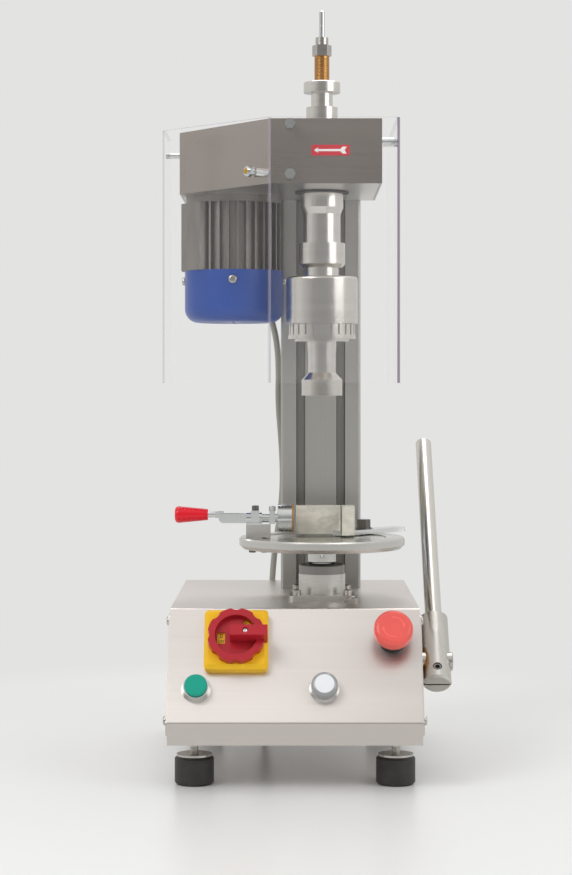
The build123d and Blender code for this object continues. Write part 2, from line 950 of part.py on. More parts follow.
with BuildPart() as column_cap:
    with BuildSketch(Plane.XY.offset(column_top)):
        with Locations(column_place):
            RectangleRounded(column_size, column_size, column_corner)
    extrude(amount=column_cap_height)
    chamfer(column_cap.edges().group_by(Axis.Z)[-1], length=cap_edge_bevel)

# Lift guide: flange, body and spigot turned in one piece, then its dark cap
with BuildPart() as lift_guide:
    with BuildSketch(Plane.XY.offset(base_top)):
        with Locations(spindle_place):
            RectangleRounded(guide_flange, guide_flange, guide_flange_corner)
    extrude(amount=guide_flange_height)
    with BuildSketch(Plane.XY.offset(base_top)):
        with Locations(spindle_place):
            Circle(guide_body / 2)
    extrude(amount=guide_body_top - base_top)
    with BuildSketch(Plane.XY.offset(guide_bottom)):
        with Locations(spindle_place):
            Circle(guide_spigot / 2)
    extrude(amount=base_top - guide_bottom)
    with BuildSketch(Plane.XY.offset(guide_bottom)):
        with Locations(spindle_place):
            Circle(guide_bush / 2 + seat_gap)
    extrude(amount=guide_body_top - guide_bottom, mode=Mode.SUBTRACT)
    with BuildSketch(Plane.XY.offset(base_top)):
        with Locations(spindle_place):
            with GridLocations(guide_screw_pitch, guide_screw_pitch, 2, 2):
                Circle(guide_screw / 2 + seat_gap)
    extrude(amount=guide_flange_height, mode=Mode.SUBTRACT)

with BuildPart() as guide_cap:
    with BuildSketch(Plane.XY.offset(guide_body_top)):
        with Locations(spindle_place):
            Circle(guide_cap_diameter / 2)
            Circle(lift_diameter / 2 + swing_gap, mode=Mode.SUBTRACT)
    extrude(amount=guide_cap_top - guide_body_top)
    with BuildSketch(Plane.XY.offset(wiper_seat)):
        with Locations(spindle_place):
            Circle(wiper_diameter / 2 + seat_gap)
    extrude(amount=guide_cap_top - wiper_seat, mode=Mode.SUBTRACT)
    chamfer(guide_cap.edges().group_by(Axis.Z)[-1].sort_by(SortBy.LENGTH)[-1], length=edge_bevel)

# Rubber wiper round the lift shaft, and the seal round the spindle nose
with BuildPart() as shaft_seals:
    with BuildSketch(Plane.XY.offset(wiper_seat)):
        with Locations(spindle_place):
            Circle(wiper_diameter / 2)
            Circle(lift_diameter / 2 + face_gap, mode=Mode.SUBTRACT)
    extrude(amount=guide_cap_top + wiper_lip - wiper_seat)
    with BuildSketch(Plane.XY.offset(head_bottom)):
        with Locations(spindle_place):
            Circle(seal_diameter / 2)
            Circle(nose_diameter / 2 + face_gap, mode=Mode.SUBTRACT)
    extrude(amount=-seal_height)

# Bronze bushes of the lift guide and of the lever shaft
with BuildPart() as bronze_bushes:
    with BuildSketch(Plane.XY.offset(guide_bottom)):
        with Locations(spindle_place):
            Circle(guide_bush / 2)
            Circle(lift_diameter / 2 + running_gap, mode=Mode.SUBTRACT)
    extrude(amount=guide_body_top - guide_bottom)
    for bush_start, bush_end in bush_spans:
        with BuildSketch(lever_axis.offset(bush_start)):
            Circle(lever_bush / 2)
            Circle(lever_shaft_diameter / 2 + running_gap, mode=Mode.SUBTRACT)
        extrude(amount=bush_end - bush_start)
    with BuildSketch(lever_axis.offset(right_x + cover_sheet)):
        Circle(lever_bush_flange / 2)
        Circle(lever_shaft_diameter / 2 + running_gap, mode=Mode.SUBTRACT)
    extrude(amount=lever_bush_rim)

# Lift shaft with a rack milled into its front
with BuildPart() as lift_shaft:
    with BuildSketch(Plane.XY.offset(lift_bottom)):
        with Locations(spindle_place):
            Circle(lift_diameter / 2)
    extrude(amount=table_bottom + lift_seat - lift_bottom)
    chamfer(lift_shaft.edges().filter_by(GeomType.CIRCLE), length=edge_bevel)
    with BuildSketch(Plane.YZ.offset(spindle_x)):
        with Locations((spindle_y - rack_flat, rack_low)):
            Rectangle(lift_diameter, rack_high - rack_low, align=(Align.MAX, Align.MIN))
    extrude(amount=lift_diameter, both=True, mode=Mode.SUBTRACT)
    with BuildSketch(Plane.YZ.offset(spindle_x)):
        with Locations(*rack_gap_spots):
            Polygon(
                (-gear_module - 1, rack_gap_half + (gear_module + 1) * pressure_tan),
                (-gear_module - 1, -rack_gap_half - (gear_module + 1) * pressure_tan),
                (1.25 * gear_module, -rack_gap_half + 1.25 * gear_module * pressure_tan),
                (1.25 * gear_module, rack_gap_half - 1.25 * gear_module * pressure_tan),
                align=None,
            )
    extrude(amount=lift_diameter, both=True, mode=Mode.SUBTRACT)

# Pinion with involute teeth, a gap facing the rack at rest
with BuildPart() as lever_pinion:
    with BuildSketch(lever_axis.offset(spindle_x)):
        Circle(pitch_radius - 1.25 * gear_module)
        with PolarLocations(0, pinion_teeth, start_angle=180 / pinion_teeth):
            Polygon(*tooth_outline, align=None)
    extrude(amount=pinion_width / 2, both=True)
    with BuildSketch(lever_axis.offset(spindle_x)):
        Circle(pinion_hub / 2)
    extrude(amount=pinion_hub_width / 2, both=True)
    with BuildSketch(lever_axis.offset(spindle_x)):
        Circle(lever_shaft_diameter / 2 + seat_gap)
    extrude(amount=pinion_hub_width, both=True, mode=Mode.SUBTRACT)

# Lever shaft across the console
with BuildPart() as lever_shaft:
    with BuildSketch(lever_axis.offset(shaft_left)):
        Circle(lever_shaft_diameter / 2)
    extrude(amount=console_x + lever_reach - shaft_left)
    chamfer(lever_shaft.edges().filter_by(GeomType.CIRCLE), length=edge_bevel)

# Lever hub: slit clamp on the shaft below, socket for the rod above
with BuildPart() as lever_hub:
    with BuildSketch(hub.offset(-hub_below)):
        Circle(hub_diameter / 2)
    extrude(amount=hub_below + hub_above)
    chamfer(lever_hub.edges().filter_by(GeomType.CIRCLE).sort_by(hub_line)[-1], length=hub_chamfer)
    chamfer(lever_hub.edges().filter_by(GeomType.CIRCLE).sort_by(hub_line)[0], length=hub_slit)
    with BuildSketch(lever_axis.offset(hub_x)):
        Circle(lever_shaft_diameter / 2 + seat_gap)
    extrude(amount=hub_diameter, both=True, mode=Mode.SUBTRACT)
    with BuildSketch(hub.offset(hub_socket)):
        Circle(rod_diameter / 2 + seat_gap)
    extrude(amount=hub_above, mode=Mode.SUBTRACT)
    with BuildSketch(hub.offset(-hub_below)):
        Rectangle(2 * hub_diameter, hub_slit)
    extrude(amount=hub_below, mode=Mode.SUBTRACT)
    with BuildSketch(clamp_seat):
        Circle(clamp_screw * cap_head / 2 + face_gap)
    extrude(amount=hub_diameter, mode=Mode.SUBTRACT)
    with BuildSketch(clamp_seat):
        Circle(clamp_screw / 2 + seat_gap)
    extrude(amount=-clamp_screw_length, mode=Mode.SUBTRACT)
    with BuildSketch(grub_seat):
        Circle(grub_diameter / 2 + seat_gap)
    extrude(amount=hub_diameter / 2, mode=Mode.SUBTRACT)

with BuildPart() as lever_rod:
    with BuildSketch(hub.offset(hub_socket)):
        Circle(rod_diameter / 2)
    extrude(amount=rod_reach - hub_socket)
    chamfer(lever_rod.edges().filter_by(GeomType.CIRCLE).sort_by(hub_line)[-1], length=rod_chamfer)

hub_clamp_screw = cap_screw(clamp_screw, clamp_screw_length)
with BuildPart() as hub_screws:
    with Locations(clamp_seat.location):
        add(hub_clamp_screw)
    with BuildSketch(grub_seat):
        Circle(grub_diameter / 2)
    extrude(amount=grub_length)
    with BuildSketch(grub_seat.offset(grub_length)):
        RegularPolygon(hexagon(grub_diameter / 2), 6)
    extrude(amount=-grub_diameter / 3, mode=Mode.SUBTRACT)

# Collar that clamps the table on the lift shaft, and the table
with BuildPart() as table_collar:
    with BuildSketch(Plane.XY.offset(collar_bottom)):
        with Locations(spindle_place):
            Circle(collar_diameter / 2)
            Circle(lift_diameter / 2 + seat_gap, mode=Mode.SUBTRACT)
    extrude(amount=table_bottom - collar_bottom)
    chamfer(table_collar.edges().group_by(Axis.Z)[0].sort_by(SortBy.LENGTH)[-1], length=edge_bevel)
    with BuildSketch(Plane.XZ.offset(-spindle_y)):
        with Locations((spindle_x, (collar_bottom + table_bottom) / 2)):
            Circle(collar_screw / 2)
    extrude(amount=collar_diameter, mode=Mode.SUBTRACT)

with BuildPart() as bottle_table:
    with BuildSketch(Plane.XZ.offset(-spindle_y)):
        with BuildLine():
            Polyline(
                (spindle_x, table_bottom),
                (spindle_x + table_diameter / 2 - table_chamfer, table_bottom),
                (spindle_x + table_diameter / 2, table_bottom + table_chamfer),
                (spindle_x + table_diameter / 2, table_top - table_edge),
                (spindle_x + table_diameter / 2 - table_edge, table_top),
                (spindle_x + table_recess_diameter / 2, table_top),
                (spindle_x + table_recess_diameter / 2, table_top - table_recess),
                (spindle_x, table_top - table_recess),
                close=True,
            )
        make_face()
    revolve(axis=Axis((spindle_x, spindle_y, 0), (0, 0, 1)))
    with BuildSketch(Plane.XY.offset(table_bottom)):
        with Locations(spindle_place):
            Circle(lift_diameter / 2 + seat_gap)
    extrude(amount=lift_seat, mode=Mode.SUBTRACT)
    with BuildSketch(bar_line):
        with Locations((bar_bolt_at, 0)):
            Circle(bar_bolt / 2 + seat_gap)
    extrude(amount=-bar_bolt_depth, mode=Mode.SUBTRACT)
    with BuildSketch(Plane.XY.offset(table_bottom)):
        with Locations(*block_screw_spots):
            Circle(block_screw / 2 + seat_gap)
    extrude(amount=table_thickness, mode=Mode.SUBTRACT)

# Push clamp: block on the table, then the body with its barrel and two lugs
with BuildPart() as clamp_block:
    with BuildSketch(Plane.XY.offset(table_top)):
        with Locations(((block_left + block_right) / 2, spindle_y)):
            Rectangle(block_right - block_left, block_width)
    extrude(amount=block_top - table_top)
    with BuildSketch(Plane.XY.offset(table_top)):
        with Locations(*block_screw_spots):
            Circle(block_screw / 2 + seat_gap)
    extrude(amount=block_screw_depth, mode=Mode.SUBTRACT)

with BuildPart() as clamp_body:
    with BuildSketch(Plane.XY.offset(block_top)):
        with Locations((block_left + barrel_length / 2, spindle_y)):
            Rectangle(barrel_length, clamp_foot_width)
    extrude(amount=clamp_foot)
    with BuildSketch(plunger_line.offset(block_left)):
        Circle(barrel_diameter / 2)
    extrude(amount=barrel_length)
    with BuildSketch(Plane.XY.offset(block_top)):
        with Locations((block_left + saddle_start + saddle_length / 2, spindle_y)):
            Rectangle(saddle_length, saddle_width)
    extrude(amount=saddle_top - block_top)
    for side in (-1, 1):
        with BuildSketch(clamp_plane.offset(side * (lug_inner + lug_thickness / 2))):
            with Locations(pivot):
                Circle(lug_radius)
                Rectangle(lug_reach, 2 * lug_radius, align=(Align.MIN, Align.CENTER))
        extrude(amount=lug_thickness / 2, both=True)
        with BuildSketch(clamp_plane.offset(side * cheek_inner)):
            with Locations(pivot):
                Circle(rivet / 2)
        extrude(amount=side * (lug_inner + lug_thickness + rivet_head - cheek_inner))
    with BuildSketch(plunger_line.offset(pivot_x + crank + crank_boss)):
        Circle(plunger_diameter / 2 + running_gap)
    extrude(amount=block_left + barrel_length - pivot_x, mode=Mode.SUBTRACT)
    with BuildSketch(Plane.XY.offset(saddle_top)):
        with Locations((block_left + saddle_start + saddle_length / 2, spindle_y)):
            Circle(saddle_screw / 2 + seat_gap)
    extrude(amount=-saddle_screw_length, mode=Mode.SUBTRACT)

# Screws on the table: block, saddle, and the bolt that locks the stop's bar
block_cap_screw = cap_screw(block_screw, table_thickness + block_screw_depth)
saddle_cap_screw = cap_screw(saddle_screw, saddle_screw_length)
bar_hex_bolt = hex_bolt(bar_bolt, bar_bolt_across, bar_bolt_head, bar_washer_height)
with BuildPart() as table_screws:
    for spot in block_screw_spots:
        with Locations(Plane(origin=(spot[0], spot[1], table_bottom), z_dir=(0, 0, -1)).location):
            add(block_cap_screw)
    with Locations((block_left + saddle_start + saddle_length / 2, spindle_y, saddle_top)):
        add(saddle_cap_screw)
    with BuildSketch(bar_line.offset(-bar_bolt_depth)):
        with Locations((bar_bolt_at, 0)):
            Circle(bar_bolt / 2)
    extrude(amount=bar_bolt_depth + bar_thickness + bar_washer_height + running_gap)
    with BuildSketch(bar_line.offset(bar_thickness + running_gap)):
        with Locations((bar_bolt_at, 0)):
            Circle(bar_washer / 2)
    extrude(amount=bar_washer_height)
    with Locations(bar_line.offset(bar_thickness + running_gap + bar_washer_height).location):
        with Locations((bar_bolt_at, 0)):
            add(bar_hex_bolt)

# Plunger of the clamp: fork, rod, holder with its screw, and the round pad
with BuildPart() as clamp_plunger:
    with BuildSketch(plunger_line.offset(link_pin_x - plunger_tail)):
        Circle(plunger_diameter / 2)
    extrude(amount=pad_left - link_pin_x + plunger_tail)
    with BuildSketch(plunger_line.offset(holder_left)):
        with Locations((0, (holder_above - holder_below) / 2)):
            Rectangle(holder_width, holder_above + holder_below)
    extrude(amount=holder_length)
    with BuildSketch(plunger_line.offset(pad_left)):
        Circle(pad_diameter / 2)
    extrude(amount=pad_length + pad_face)
    with BuildSketch(clamp_plane):
        with Locations((link_pin_x - plunger_tail, clamp_axis_z)):
            Rectangle(
                plunger_tail + link_radius + swing_gap,
                2 * plunger_diameter,
                align=(Align.MIN, Align.CENTER),
            )
    extrude(amount=cheek_inner, both=True, mode=Mode.SUBTRACT)
    with BuildSketch(clamp_plane):
        with Locations(link_pin):
            Circle(rivet / 2)
    extrude(amount=cheek_inner + cheek_plate, both=True)
    with Locations((holder_left + holder_length / 2, spindle_y, clamp_axis_z + holder_above)):
        add(saddle_cap_screw)

with BuildPart() as clamp_link:
    with BuildSketch(clamp_plane):
        with Locations(((crank_pin[0] + link_pin_x) / 2, clamp_axis_z)):
            SlotCenterToCenter(link_length, 2 * link_radius)
        with Locations(crank_pin, link_pin):
            Circle(rivet / 2 + running_gap, mode=Mode.SUBTRACT)
    extrude(amount=link_thickness / 2, both=True)

# Clamp handle: two cheeks joined by a web, and the stem for the grip
with BuildPart() as clamp_handle:
    for side in (-1, 1):
        with BuildSketch(clamp_plane.offset(side * (cheek_inner + cheek_plate / 2))):
            with Locations(pivot):
                Circle(pivot_boss)
            with Locations(crank_pin):
                Circle(crank_boss)
            with Locations((arm_end, clamp_axis_z + arm_height)):
                Rectangle(pivot_x - arm_end, arm_depth, align=(Align.MIN, Align.CENTER))
            with Locations(pivot):
                Circle(rivet / 2 + running_gap, mode=Mode.SUBTRACT)
        extrude(amount=cheek_plate / 2, both=True)
    with BuildSketch(stem_line.offset(arm_end)):
        Rectangle(2 * (cheek_inner + cheek_plate), arm_depth)
    extrude(amount=pivot_x - arm_web - arm_end)
    with BuildSketch(stem_line.offset(grip_root - stem_into_grip)):
        Circle(stem_diameter / 2)
    extrude(amount=arm_end - grip_root + stem_into_grip)

with BuildPart() as clamp_grip:
    with BuildSketch(stem_line.offset(grip_tip)):
        Circle(grip_large / 2)
    with BuildSketch(stem_line.offset(grip_root)):
        Circle(grip_small / 2)
    loft()
    fillet(clamp_grip.edges().group_by(Axis.X)[0], radius=grip_round)
    with BuildSketch(stem_line.offset(grip_root)):
        Circle(stem_diameter / 2 + seat_gap)
    extrude(amount=-stem_into_grip, mode=Mode.SUBTRACT)

# Bottle stop: corner block on a slotted bar
with BuildPart() as v_block:
    with BuildSketch(Plane.XY.offset(stop_bottom)):
        with BuildLine():
            Polyline(
                (stop_x - stop_length, stop_y),
                (stop_x, stop_y),
                (stop_x, stop_y - stop_reach),
                (stop_x + stop_wall, stop_y - stop_reach),
                (stop_x + stop_wall, stop_y + stop_wall),
                (stop_x - stop_length, stop_y + stop_wall),
                close=True,
            )
        make_face()
    extrude(amount=stop_height)
    fillet(v_block.edges().filter_by(Axis.Z), radius=stop_round)
    with BuildSketch(bar_line):
        with Locations(((bar_start + bar_end) / 2, 0)):
            Rectangle(bar_end - bar_start, bar_width + 2 * seat_gap)
    extrude(amount=bar_thickness, mode=Mode.SUBTRACT)

with BuildPart() as fixture_bar:
    with BuildSketch(bar_line):
        with Locations(((bar_start + bar_end) / 2, 0)):
            RectangleRounded(bar_end - bar_start, bar_width, stop_round)
        with Locations((bar_bolt_at + (stop_in - stop_out) / 2, 0)):
            SlotCenterToCenter(stop_in + stop_out + bar_slot_spare, bar_slot, mode=Mode.SUBTRACT)
    extrude(amount=bar_thickness)

# Head bracket: floor plate, back plate on the column and top arm
with BuildPart() as head_bracket:
    with BuildSketch(Plane.XY.offset(head_bottom)):
        with BuildLine():
            Polyline(*head_outline, close=True)
        make_face()
        offset(amount=-sheet - face_gap, kind=Kind.INTERSECTION)
    extrude(amount=head_plate)
    with BuildSketch(Plane.XY.offset(head_bottom)):
        with Locations((spindle_x, column_front)):
            Rectangle(back_plate_width, back_plate, align=(Align.CENTER, Align.MAX))
    extrude(amount=head_inside_top - head_bottom)
    with BuildSketch(Plane.XY.offset(arm_bottom)):
        with Locations((spindle_x, column_front)):
            Rectangle(arm_width, column_front - spindle_y + arm_width / 2, align=(Align.CENTER, Align.MAX))
    extrude(amount=arm_thickness)
    with BuildSketch(Plane.XY.offset(head_bottom)):
        with Locations(spindle_place):
            Circle(lower_bearing / 2 + seat_gap)
        with Locations(motor_place):
            Circle(motor_shaft_hole / 2)
            with GridLocations(motor_screw_pitch, motor_screw_pitch, 2, 2):
                Circle(motor_screw / 2 + seat_gap)
    extrude(amount=head_plate, mode=Mode.SUBTRACT)
    with BuildSketch(Plane.XY.offset(arm_bottom)):
        with Locations(spindle_place):
            Circle(boss_diameter / 2 + seat_gap)
            with PolarLocations(boss_screw_ring / 2, 4, start_angle=45):
                Circle(boss_screw / 2 + seat_gap)
    extrude(amount=arm_thickness, mode=Mode.SUBTRACT)
    with BuildSketch(Plane.XZ.offset(-column_front)):
        for height in head_screw_z:
            with Locations((spindle_x - slot_pitch / 2, height), (spindle_x + slot_pitch / 2, height)):
                Circle(head_screw / 2 + seat_gap)
    extrude(amount=back_plate, mode=Mode.SUBTRACT)

# Sheet cover of the head, open below and towards the column
with BuildPart() as head_cover:
    for inset, top, kind in ((0, head_top, Mode.ADD), (sheet, head_top - sheet, Mode.SUBTRACT)):
        with BuildSketch(Plane.XY.offset(head_bottom)) as plan:
            with BuildLine():
                Polyline(*head_outline, close=True)
            make_face()
            if inset:
                offset(amount=-inset, kind=Kind.INTERSECTION)
        extrude(amount=top - head_bottom, mode=kind)
    with BuildSketch(Plane.XY.offset(head_top)):
        with Locations(spindle_place):
            Circle(boss_diameter / 2 + face_gap)
    extrude(amount=-sheet, mode=Mode.SUBTRACT)
    with BuildSketch(Plane.XZ.offset(-column_front)):
        with Locations((spindle_x, head_bottom)):
            Rectangle(
                back_plate_width + 2 * face_gap,
                head_inside_top - head_bottom + seat_gap,
                align=(Align.CENTER, Align.MIN),
            )
    extrude(amount=2 * sheet, mode=Mode.SUBTRACT)

# Upper bearing housing under the arm, its boss standing out of the cover
with BuildPart() as bearing_housing:
    add(
        lathe(
            spindle_place,
            (upper_bearing / 2 + seat_gap, boss_bottom),
            (boss_flange / 2, boss_bottom),
            (boss_flange / 2, arm_bottom),
            (boss_diameter / 2, arm_bottom),
            (boss_diameter / 2, boss_top),
            (spindle_neck / 2 + face_gap, boss_top),
            (spindle_neck / 2 + face_gap, neck_start),
            (upper_bearing / 2 + seat_gap, neck_start),
        )
    )
    with BuildSketch(Plane.XY.offset(boss_bottom)):
        with Locations(spindle_place):
            with PolarLocations(boss_screw_ring / 2, 4, start_angle=45):
                Circle(boss_screw / 2 + seat_gap)
    extrude(amount=boss_flange_height, mode=Mode.SUBTRACT)

# Ball bearings of the spindle and of the motor, as closed rings
bearing_seats = [
    (spindle_place, head_bottom, head_plate, lower_bearing, spindle_diameter),
    (spindle_place, boss_bottom, upper_bearing_width, upper_bearing, spindle_diameter),
    (motor_place, motor_bearing_bottom, motor_bearing_width, motor_bearing, motor_shaft),
    (motor_place, motor_bottom - motor_bearing_width, motor_bearing_width, motor_bearing, motor_shaft),
]
with BuildPart() as ball_bearings:
    for place, bottom, width, outside, bore in bearing_seats:
        with BuildSketch(Plane.XY.offset(bottom)):
            with Locations(place):
                Circle(outside / 2)
                Circle(bore / 2 + running_gap, mode=Mode.SUBTRACT)
        extrude(amount=width)

# Spindle with its pulley
with BuildPart() as spindle_shaft:
    add(
        lathe(
            spindle_place,
            (spindle_bore / 2, spindle_bottom),
            (spindle_diameter / 2, spindle_bottom),
            (spindle_diameter / 2, neck_start),
            (spindle_neck / 2, neck_start),
            (spindle_neck / 2, spindle_top),
            (thread_spigot / 2 + seat_gap, spindle_top),
            (thread_spigot / 2 + seat_gap, spindle_top - thread_seat),
            (spindle_bore / 2, spindle_top - thread_seat),
        )
    )
    add(
        lathe(
            spindle_place,
            (spindle_diameter / 2 + seat_gap, pulley_bottom),
            (spindle_pulley_radius + pulley_flange_lip, pulley_bottom),
            (spindle_pulley_radius + pulley_flange_lip, pulley_bottom + pulley_flange),
            (spindle_pulley_radius, pulley_bottom + pulley_flange),
            (spindle_pulley_radius, pulley_bottom + pulley_height - pulley_flange),
            (spindle_pulley_radius + pulley_flange_lip, pulley_bottom + pulley_height - pulley_flange),
            (spindle_pulley_radius + pulley_flange_lip, pulley_bottom + pulley_height),
            (spindle_diameter / 2 + seat_gap, pulley_bottom + pulley_height),
        )
    )

with BuildPart() as drive_belt:
    for grow, kind in ((face_gap + belt_thickness, Mode.ADD), (face_gap, Mode.SUBTRACT)):
        with BuildSketch(Plane.XY.offset(pulley_bottom + (pulley_height - belt_width) / 2)):
            with Locations(spindle_place):
                Circle(spindle_pulley_radius + grow)
            with Locations(motor_place):
                Circle(motor_pulley_radius + grow)
            make_hull()
        extrude(amount=belt_width, mode=kind)

# Motor: finned housing with pads, flange and end shield
with BuildPart() as motor_housing:
    with BuildSketch(Plane.XY.offset(motor_bottom)):
        with Locations(motor_place):
            Circle(motor_core / 2)
            with PolarLocations(0, motor_fins, start_angle=180 / motor_fins):
                Rectangle(motor_fin_reach / 2, motor_fin, align=(Align.MIN, Align.CENTER))
            with PolarLocations(0, 3, start_angle=90, angular_range=180):
                Rectangle(motor_pad_reach, motor_pad_width, align=(Align.MIN, Align.CENTER))
    extrude(amount=head_bottom - motor_flange - motor_bottom)
    for diameter, bottom, top in (
        (motor_fin_reach, head_bottom - motor_flange, head_bottom),
        (shield_diameter, shield_bottom, motor_bottom),
    ):
        with BuildSketch(Plane.XY.offset(bottom)):
            with Locations(motor_place):
                Circle(diameter / 2)
        extrude(amount=top - bottom)
    for diameter, bottom, top in (
        (rotor_diameter + 2 * rotor_clear, motor_bottom, motor_bearing_bottom),
        (motor_bearing + 2 * seat_gap, motor_bearing_bottom, head_bottom),
        (motor_bearing + 2 * seat_gap, motor_bottom - motor_bearing_width, motor_bottom),
        (motor_shaft_hole, shield_bottom, motor_bottom),
    ):
        with BuildSketch(Plane.XY.offset(bottom)):
            with Locations(motor_place):
                Circle(diameter / 2)
        extrude(amount=top - bottom, mode=Mode.SUBTRACT)
    with BuildSketch(Plane.XY.offset(head_bottom)):
        with Locations(motor_place):
            with GridLocations(motor_screw_pitch, motor_screw_pitch, 2, 2):
                Circle(motor_screw / 2 + seat_gap)
    extrude(amount=-motor_screw_depth, mode=Mode.SUBTRACT)
    for spot in fan_screw_planes:
        with BuildSketch(spot):
            Circle(fan_screw / 2 + seat_gap)
        extrude(amount=-fan_screw_length - seat_gap, mode=Mode.SUBTRACT)

# Rotor on its shaft, with the fan below and the small pulley above
with BuildPart() as motor_rotor:
    for diameter, bottom, height in (
        (motor_shaft, fan_bottom, motor_shaft_top - fan_bottom),
        (rotor_diameter, rotor_bottom, rotor_length),
        (fan_hub, fan_bottom, fan_height),
        (2 * motor_pulley_radius, pulley_bottom, pulley_height),
        (motor_flange_diameter, pulley_bottom, pulley_flange),
        (motor_flange_diameter, pulley_bottom + pulley_height - pulley_flange, pulley_flange),
    ):
        with BuildSketch(Plane.XY.offset(bottom)):
            with Locations(motor_place):
                Circle(diameter / 2)
        extrude(amount=height)
    with BuildSketch(Plane.XY.offset(fan_bottom)):
        with Locations(motor_place):
            with PolarLocations(0, fan_blades):
                Rectangle(fan_diameter / 2, fan_cover_sheet, align=(Align.MIN, Align.CENTER))
    extrude(amount=fan_height)

# Fan cover, drawn from sheet, with slots in its floor
with BuildPart() as fan_cover:
    with BuildSketch(Plane.XY.offset(fan_cover_bottom)):
        with Locations(motor_place):
            Circle(fan_cover_diameter / 2)
    extrude(amount=motor_bottom - fan_cover_bottom)
    fillet(fan_cover.edges().group_by(Axis.Z)[0], radius=fan_cover_round)
    offset(amount=-fan_cover_sheet, openings=fan_cover.faces().sort_by(Axis.Z)[-1])
    with BuildSketch(Plane.XY.offset(fan_cover_bottom)):
        with Locations(motor_place):
            with PolarLocations(fan_slot_radius, fan_slots):
                SlotOverall(fan_slot_length, fan_slot)
    extrude(amount=fan_cover_sheet, mode=Mode.SUBTRACT)
    for spot in fan_screw_planes:
        with BuildSketch(spot):
            Circle(fan_screw / 2 + seat_gap)
        extrude(amount=-2 * fan_cover_sheet, mode=Mode.SUBTRACT)

# Terminal box behind the motor, with a lid at its rear
with BuildPart() as terminal_box:
    with BuildSketch(Plane.XY.offset(box_bottom)):
        with Locations(box_middle):
            Rectangle(box_width, box_depth)
    extrude(amount=box_height)
    fillet(terminal_box.edges().filter_by(Axis.Y), radius=box_round)
    with BuildSketch(Plane.XZ.offset(-box_front - box_depth)):
        with Locations((box_middle[0], (box_bottom + box_top) / 2)):
            Rectangle(box_width - 2 * box_wall, box_height - 2 * box_wall)
    extrude(amount=box_depth - box_wall, mode=Mode.SUBTRACT)
    with BuildSketch(Plane.XY.offset(box_bottom)):
        with Locations(box_gland_at):
            Circle(gland_thread / 2 + seat_gap)
    extrude(amount=box_wall, mode=Mode.SUBTRACT)
    with BuildSketch(Plane.XZ.offset(-box_front - box_depth - seat_gap)):
        with Locations((box_middle[0], (box_bottom + box_top) / 2)):
            RectangleRounded(box_width, box_height, box_round)
    extrude(amount=-box_wall)

# Cable glands under the terminal box and under the console, and the cable between them
with BuildPart() as cable_glands:
    for place, seat in ((box_gland_at, box_bottom), (base_gland_place, base_bottom)):
        with BuildSketch(Plane.XY.offset(seat)):
            with Locations(place):
                Circle(gland_thread / 2)
        extrude(amount=gland_end)
        with BuildSketch(Plane.XY.offset(seat)):
            with Locations(place):
                RegularPolygon(hexagon(gland_across), 6, rotation=30)
        extrude(amount=-gland_hex)
        with BuildSketch(Plane.XY.offset(seat - gland_hex)):
            with Locations(place):
                Circle(gland_dome_diameter / 2)
        extrude(amount=-gland_dome)
        fillet(cable_glands.edges().filter_by(GeomType.CIRCLE).sort_by(Axis.Z)[0], radius=gland_round)

cable_radii = []
for before, here, after in zip(cable_route, cable_route[1:], cable_route[2:]):
    run_in = Vector(*here) - Vector(*before)
    run_out = Vector(*after) - Vector(*here)
    half_turn = math.radians(run_in.get_angle(run_out)) / 2
    cable_radii.append(0.45 * min(run_in.length, run_out.length) / math.tan(half_turn))
print("cable radii", [round(radius, 1) for radius in cable_radii])
with BuildPart() as motor_cable:
    with BuildLine() as cable_line:
        FilletPolyline(*cable_route, radius=cable_radii)
    with BuildSketch(Plane(origin=cable_route[0], z_dir=(0, 0, -1))):
        Circle(cable_diameter / 2)
    sweep()
print("cable length", round(sum(edge.length for edge in cable_line.edges()), 1))

# Drive sleeve, collar and clutch housing under the head
with BuildPart() as drive_sleeve:
    add(
        lathe(
            spindle_place,
            (clutch_shank / 2 + seat_gap, sleeve_bottom),
            (sleeve_diameter / 2, sleeve_bottom),
            (sleeve_diameter / 2, sleeve_taper_end),
            (nose_diameter / 2, nose_bottom),
            (nose_diameter / 2, nose_top),
            (spindle_diameter / 2 + seat_gap, nose_top),
            (spindle_diameter / 2 + seat_gap, spindle_bottom),
            (clutch_shank / 2 + seat_gap, spindle_bottom),
        )
    )
    with BuildSketch(Plane.YZ.offset(spindle_x)):
        with Locations((spindle_y, sleeve_screw_z)):
            Circle(sleeve_screw / 2)
    extrude(amount=sleeve_diameter, mode=Mode.SUBTRACT)

with BuildPart() as clutch_collar:
    add(
        lathe(
            spindle_place,
            (clutch_shank / 2 + seat_gap, clutch_collar_bottom),
            (clutch_collar_diameter / 2 - clutch_collar_chamfer, clutch_collar_bottom),
            (clutch_collar_diameter / 2, clutch_collar_bottom + clutch_collar_chamfer),
            (clutch_collar_diameter / 2, sleeve_bottom),
            (clutch_shank / 2 + seat_gap, sleeve_bottom),
        )
    )
    with BuildSketch(Plane.XZ.offset(-spindle_y + neck_diameter / 2)):
        with Locations((spindle_x, lock_ball_z)):
            Circle(lock_ball / 2)
    extrude(amount=(clutch_collar_diameter - neck_diameter) / 2 + seat_gap)

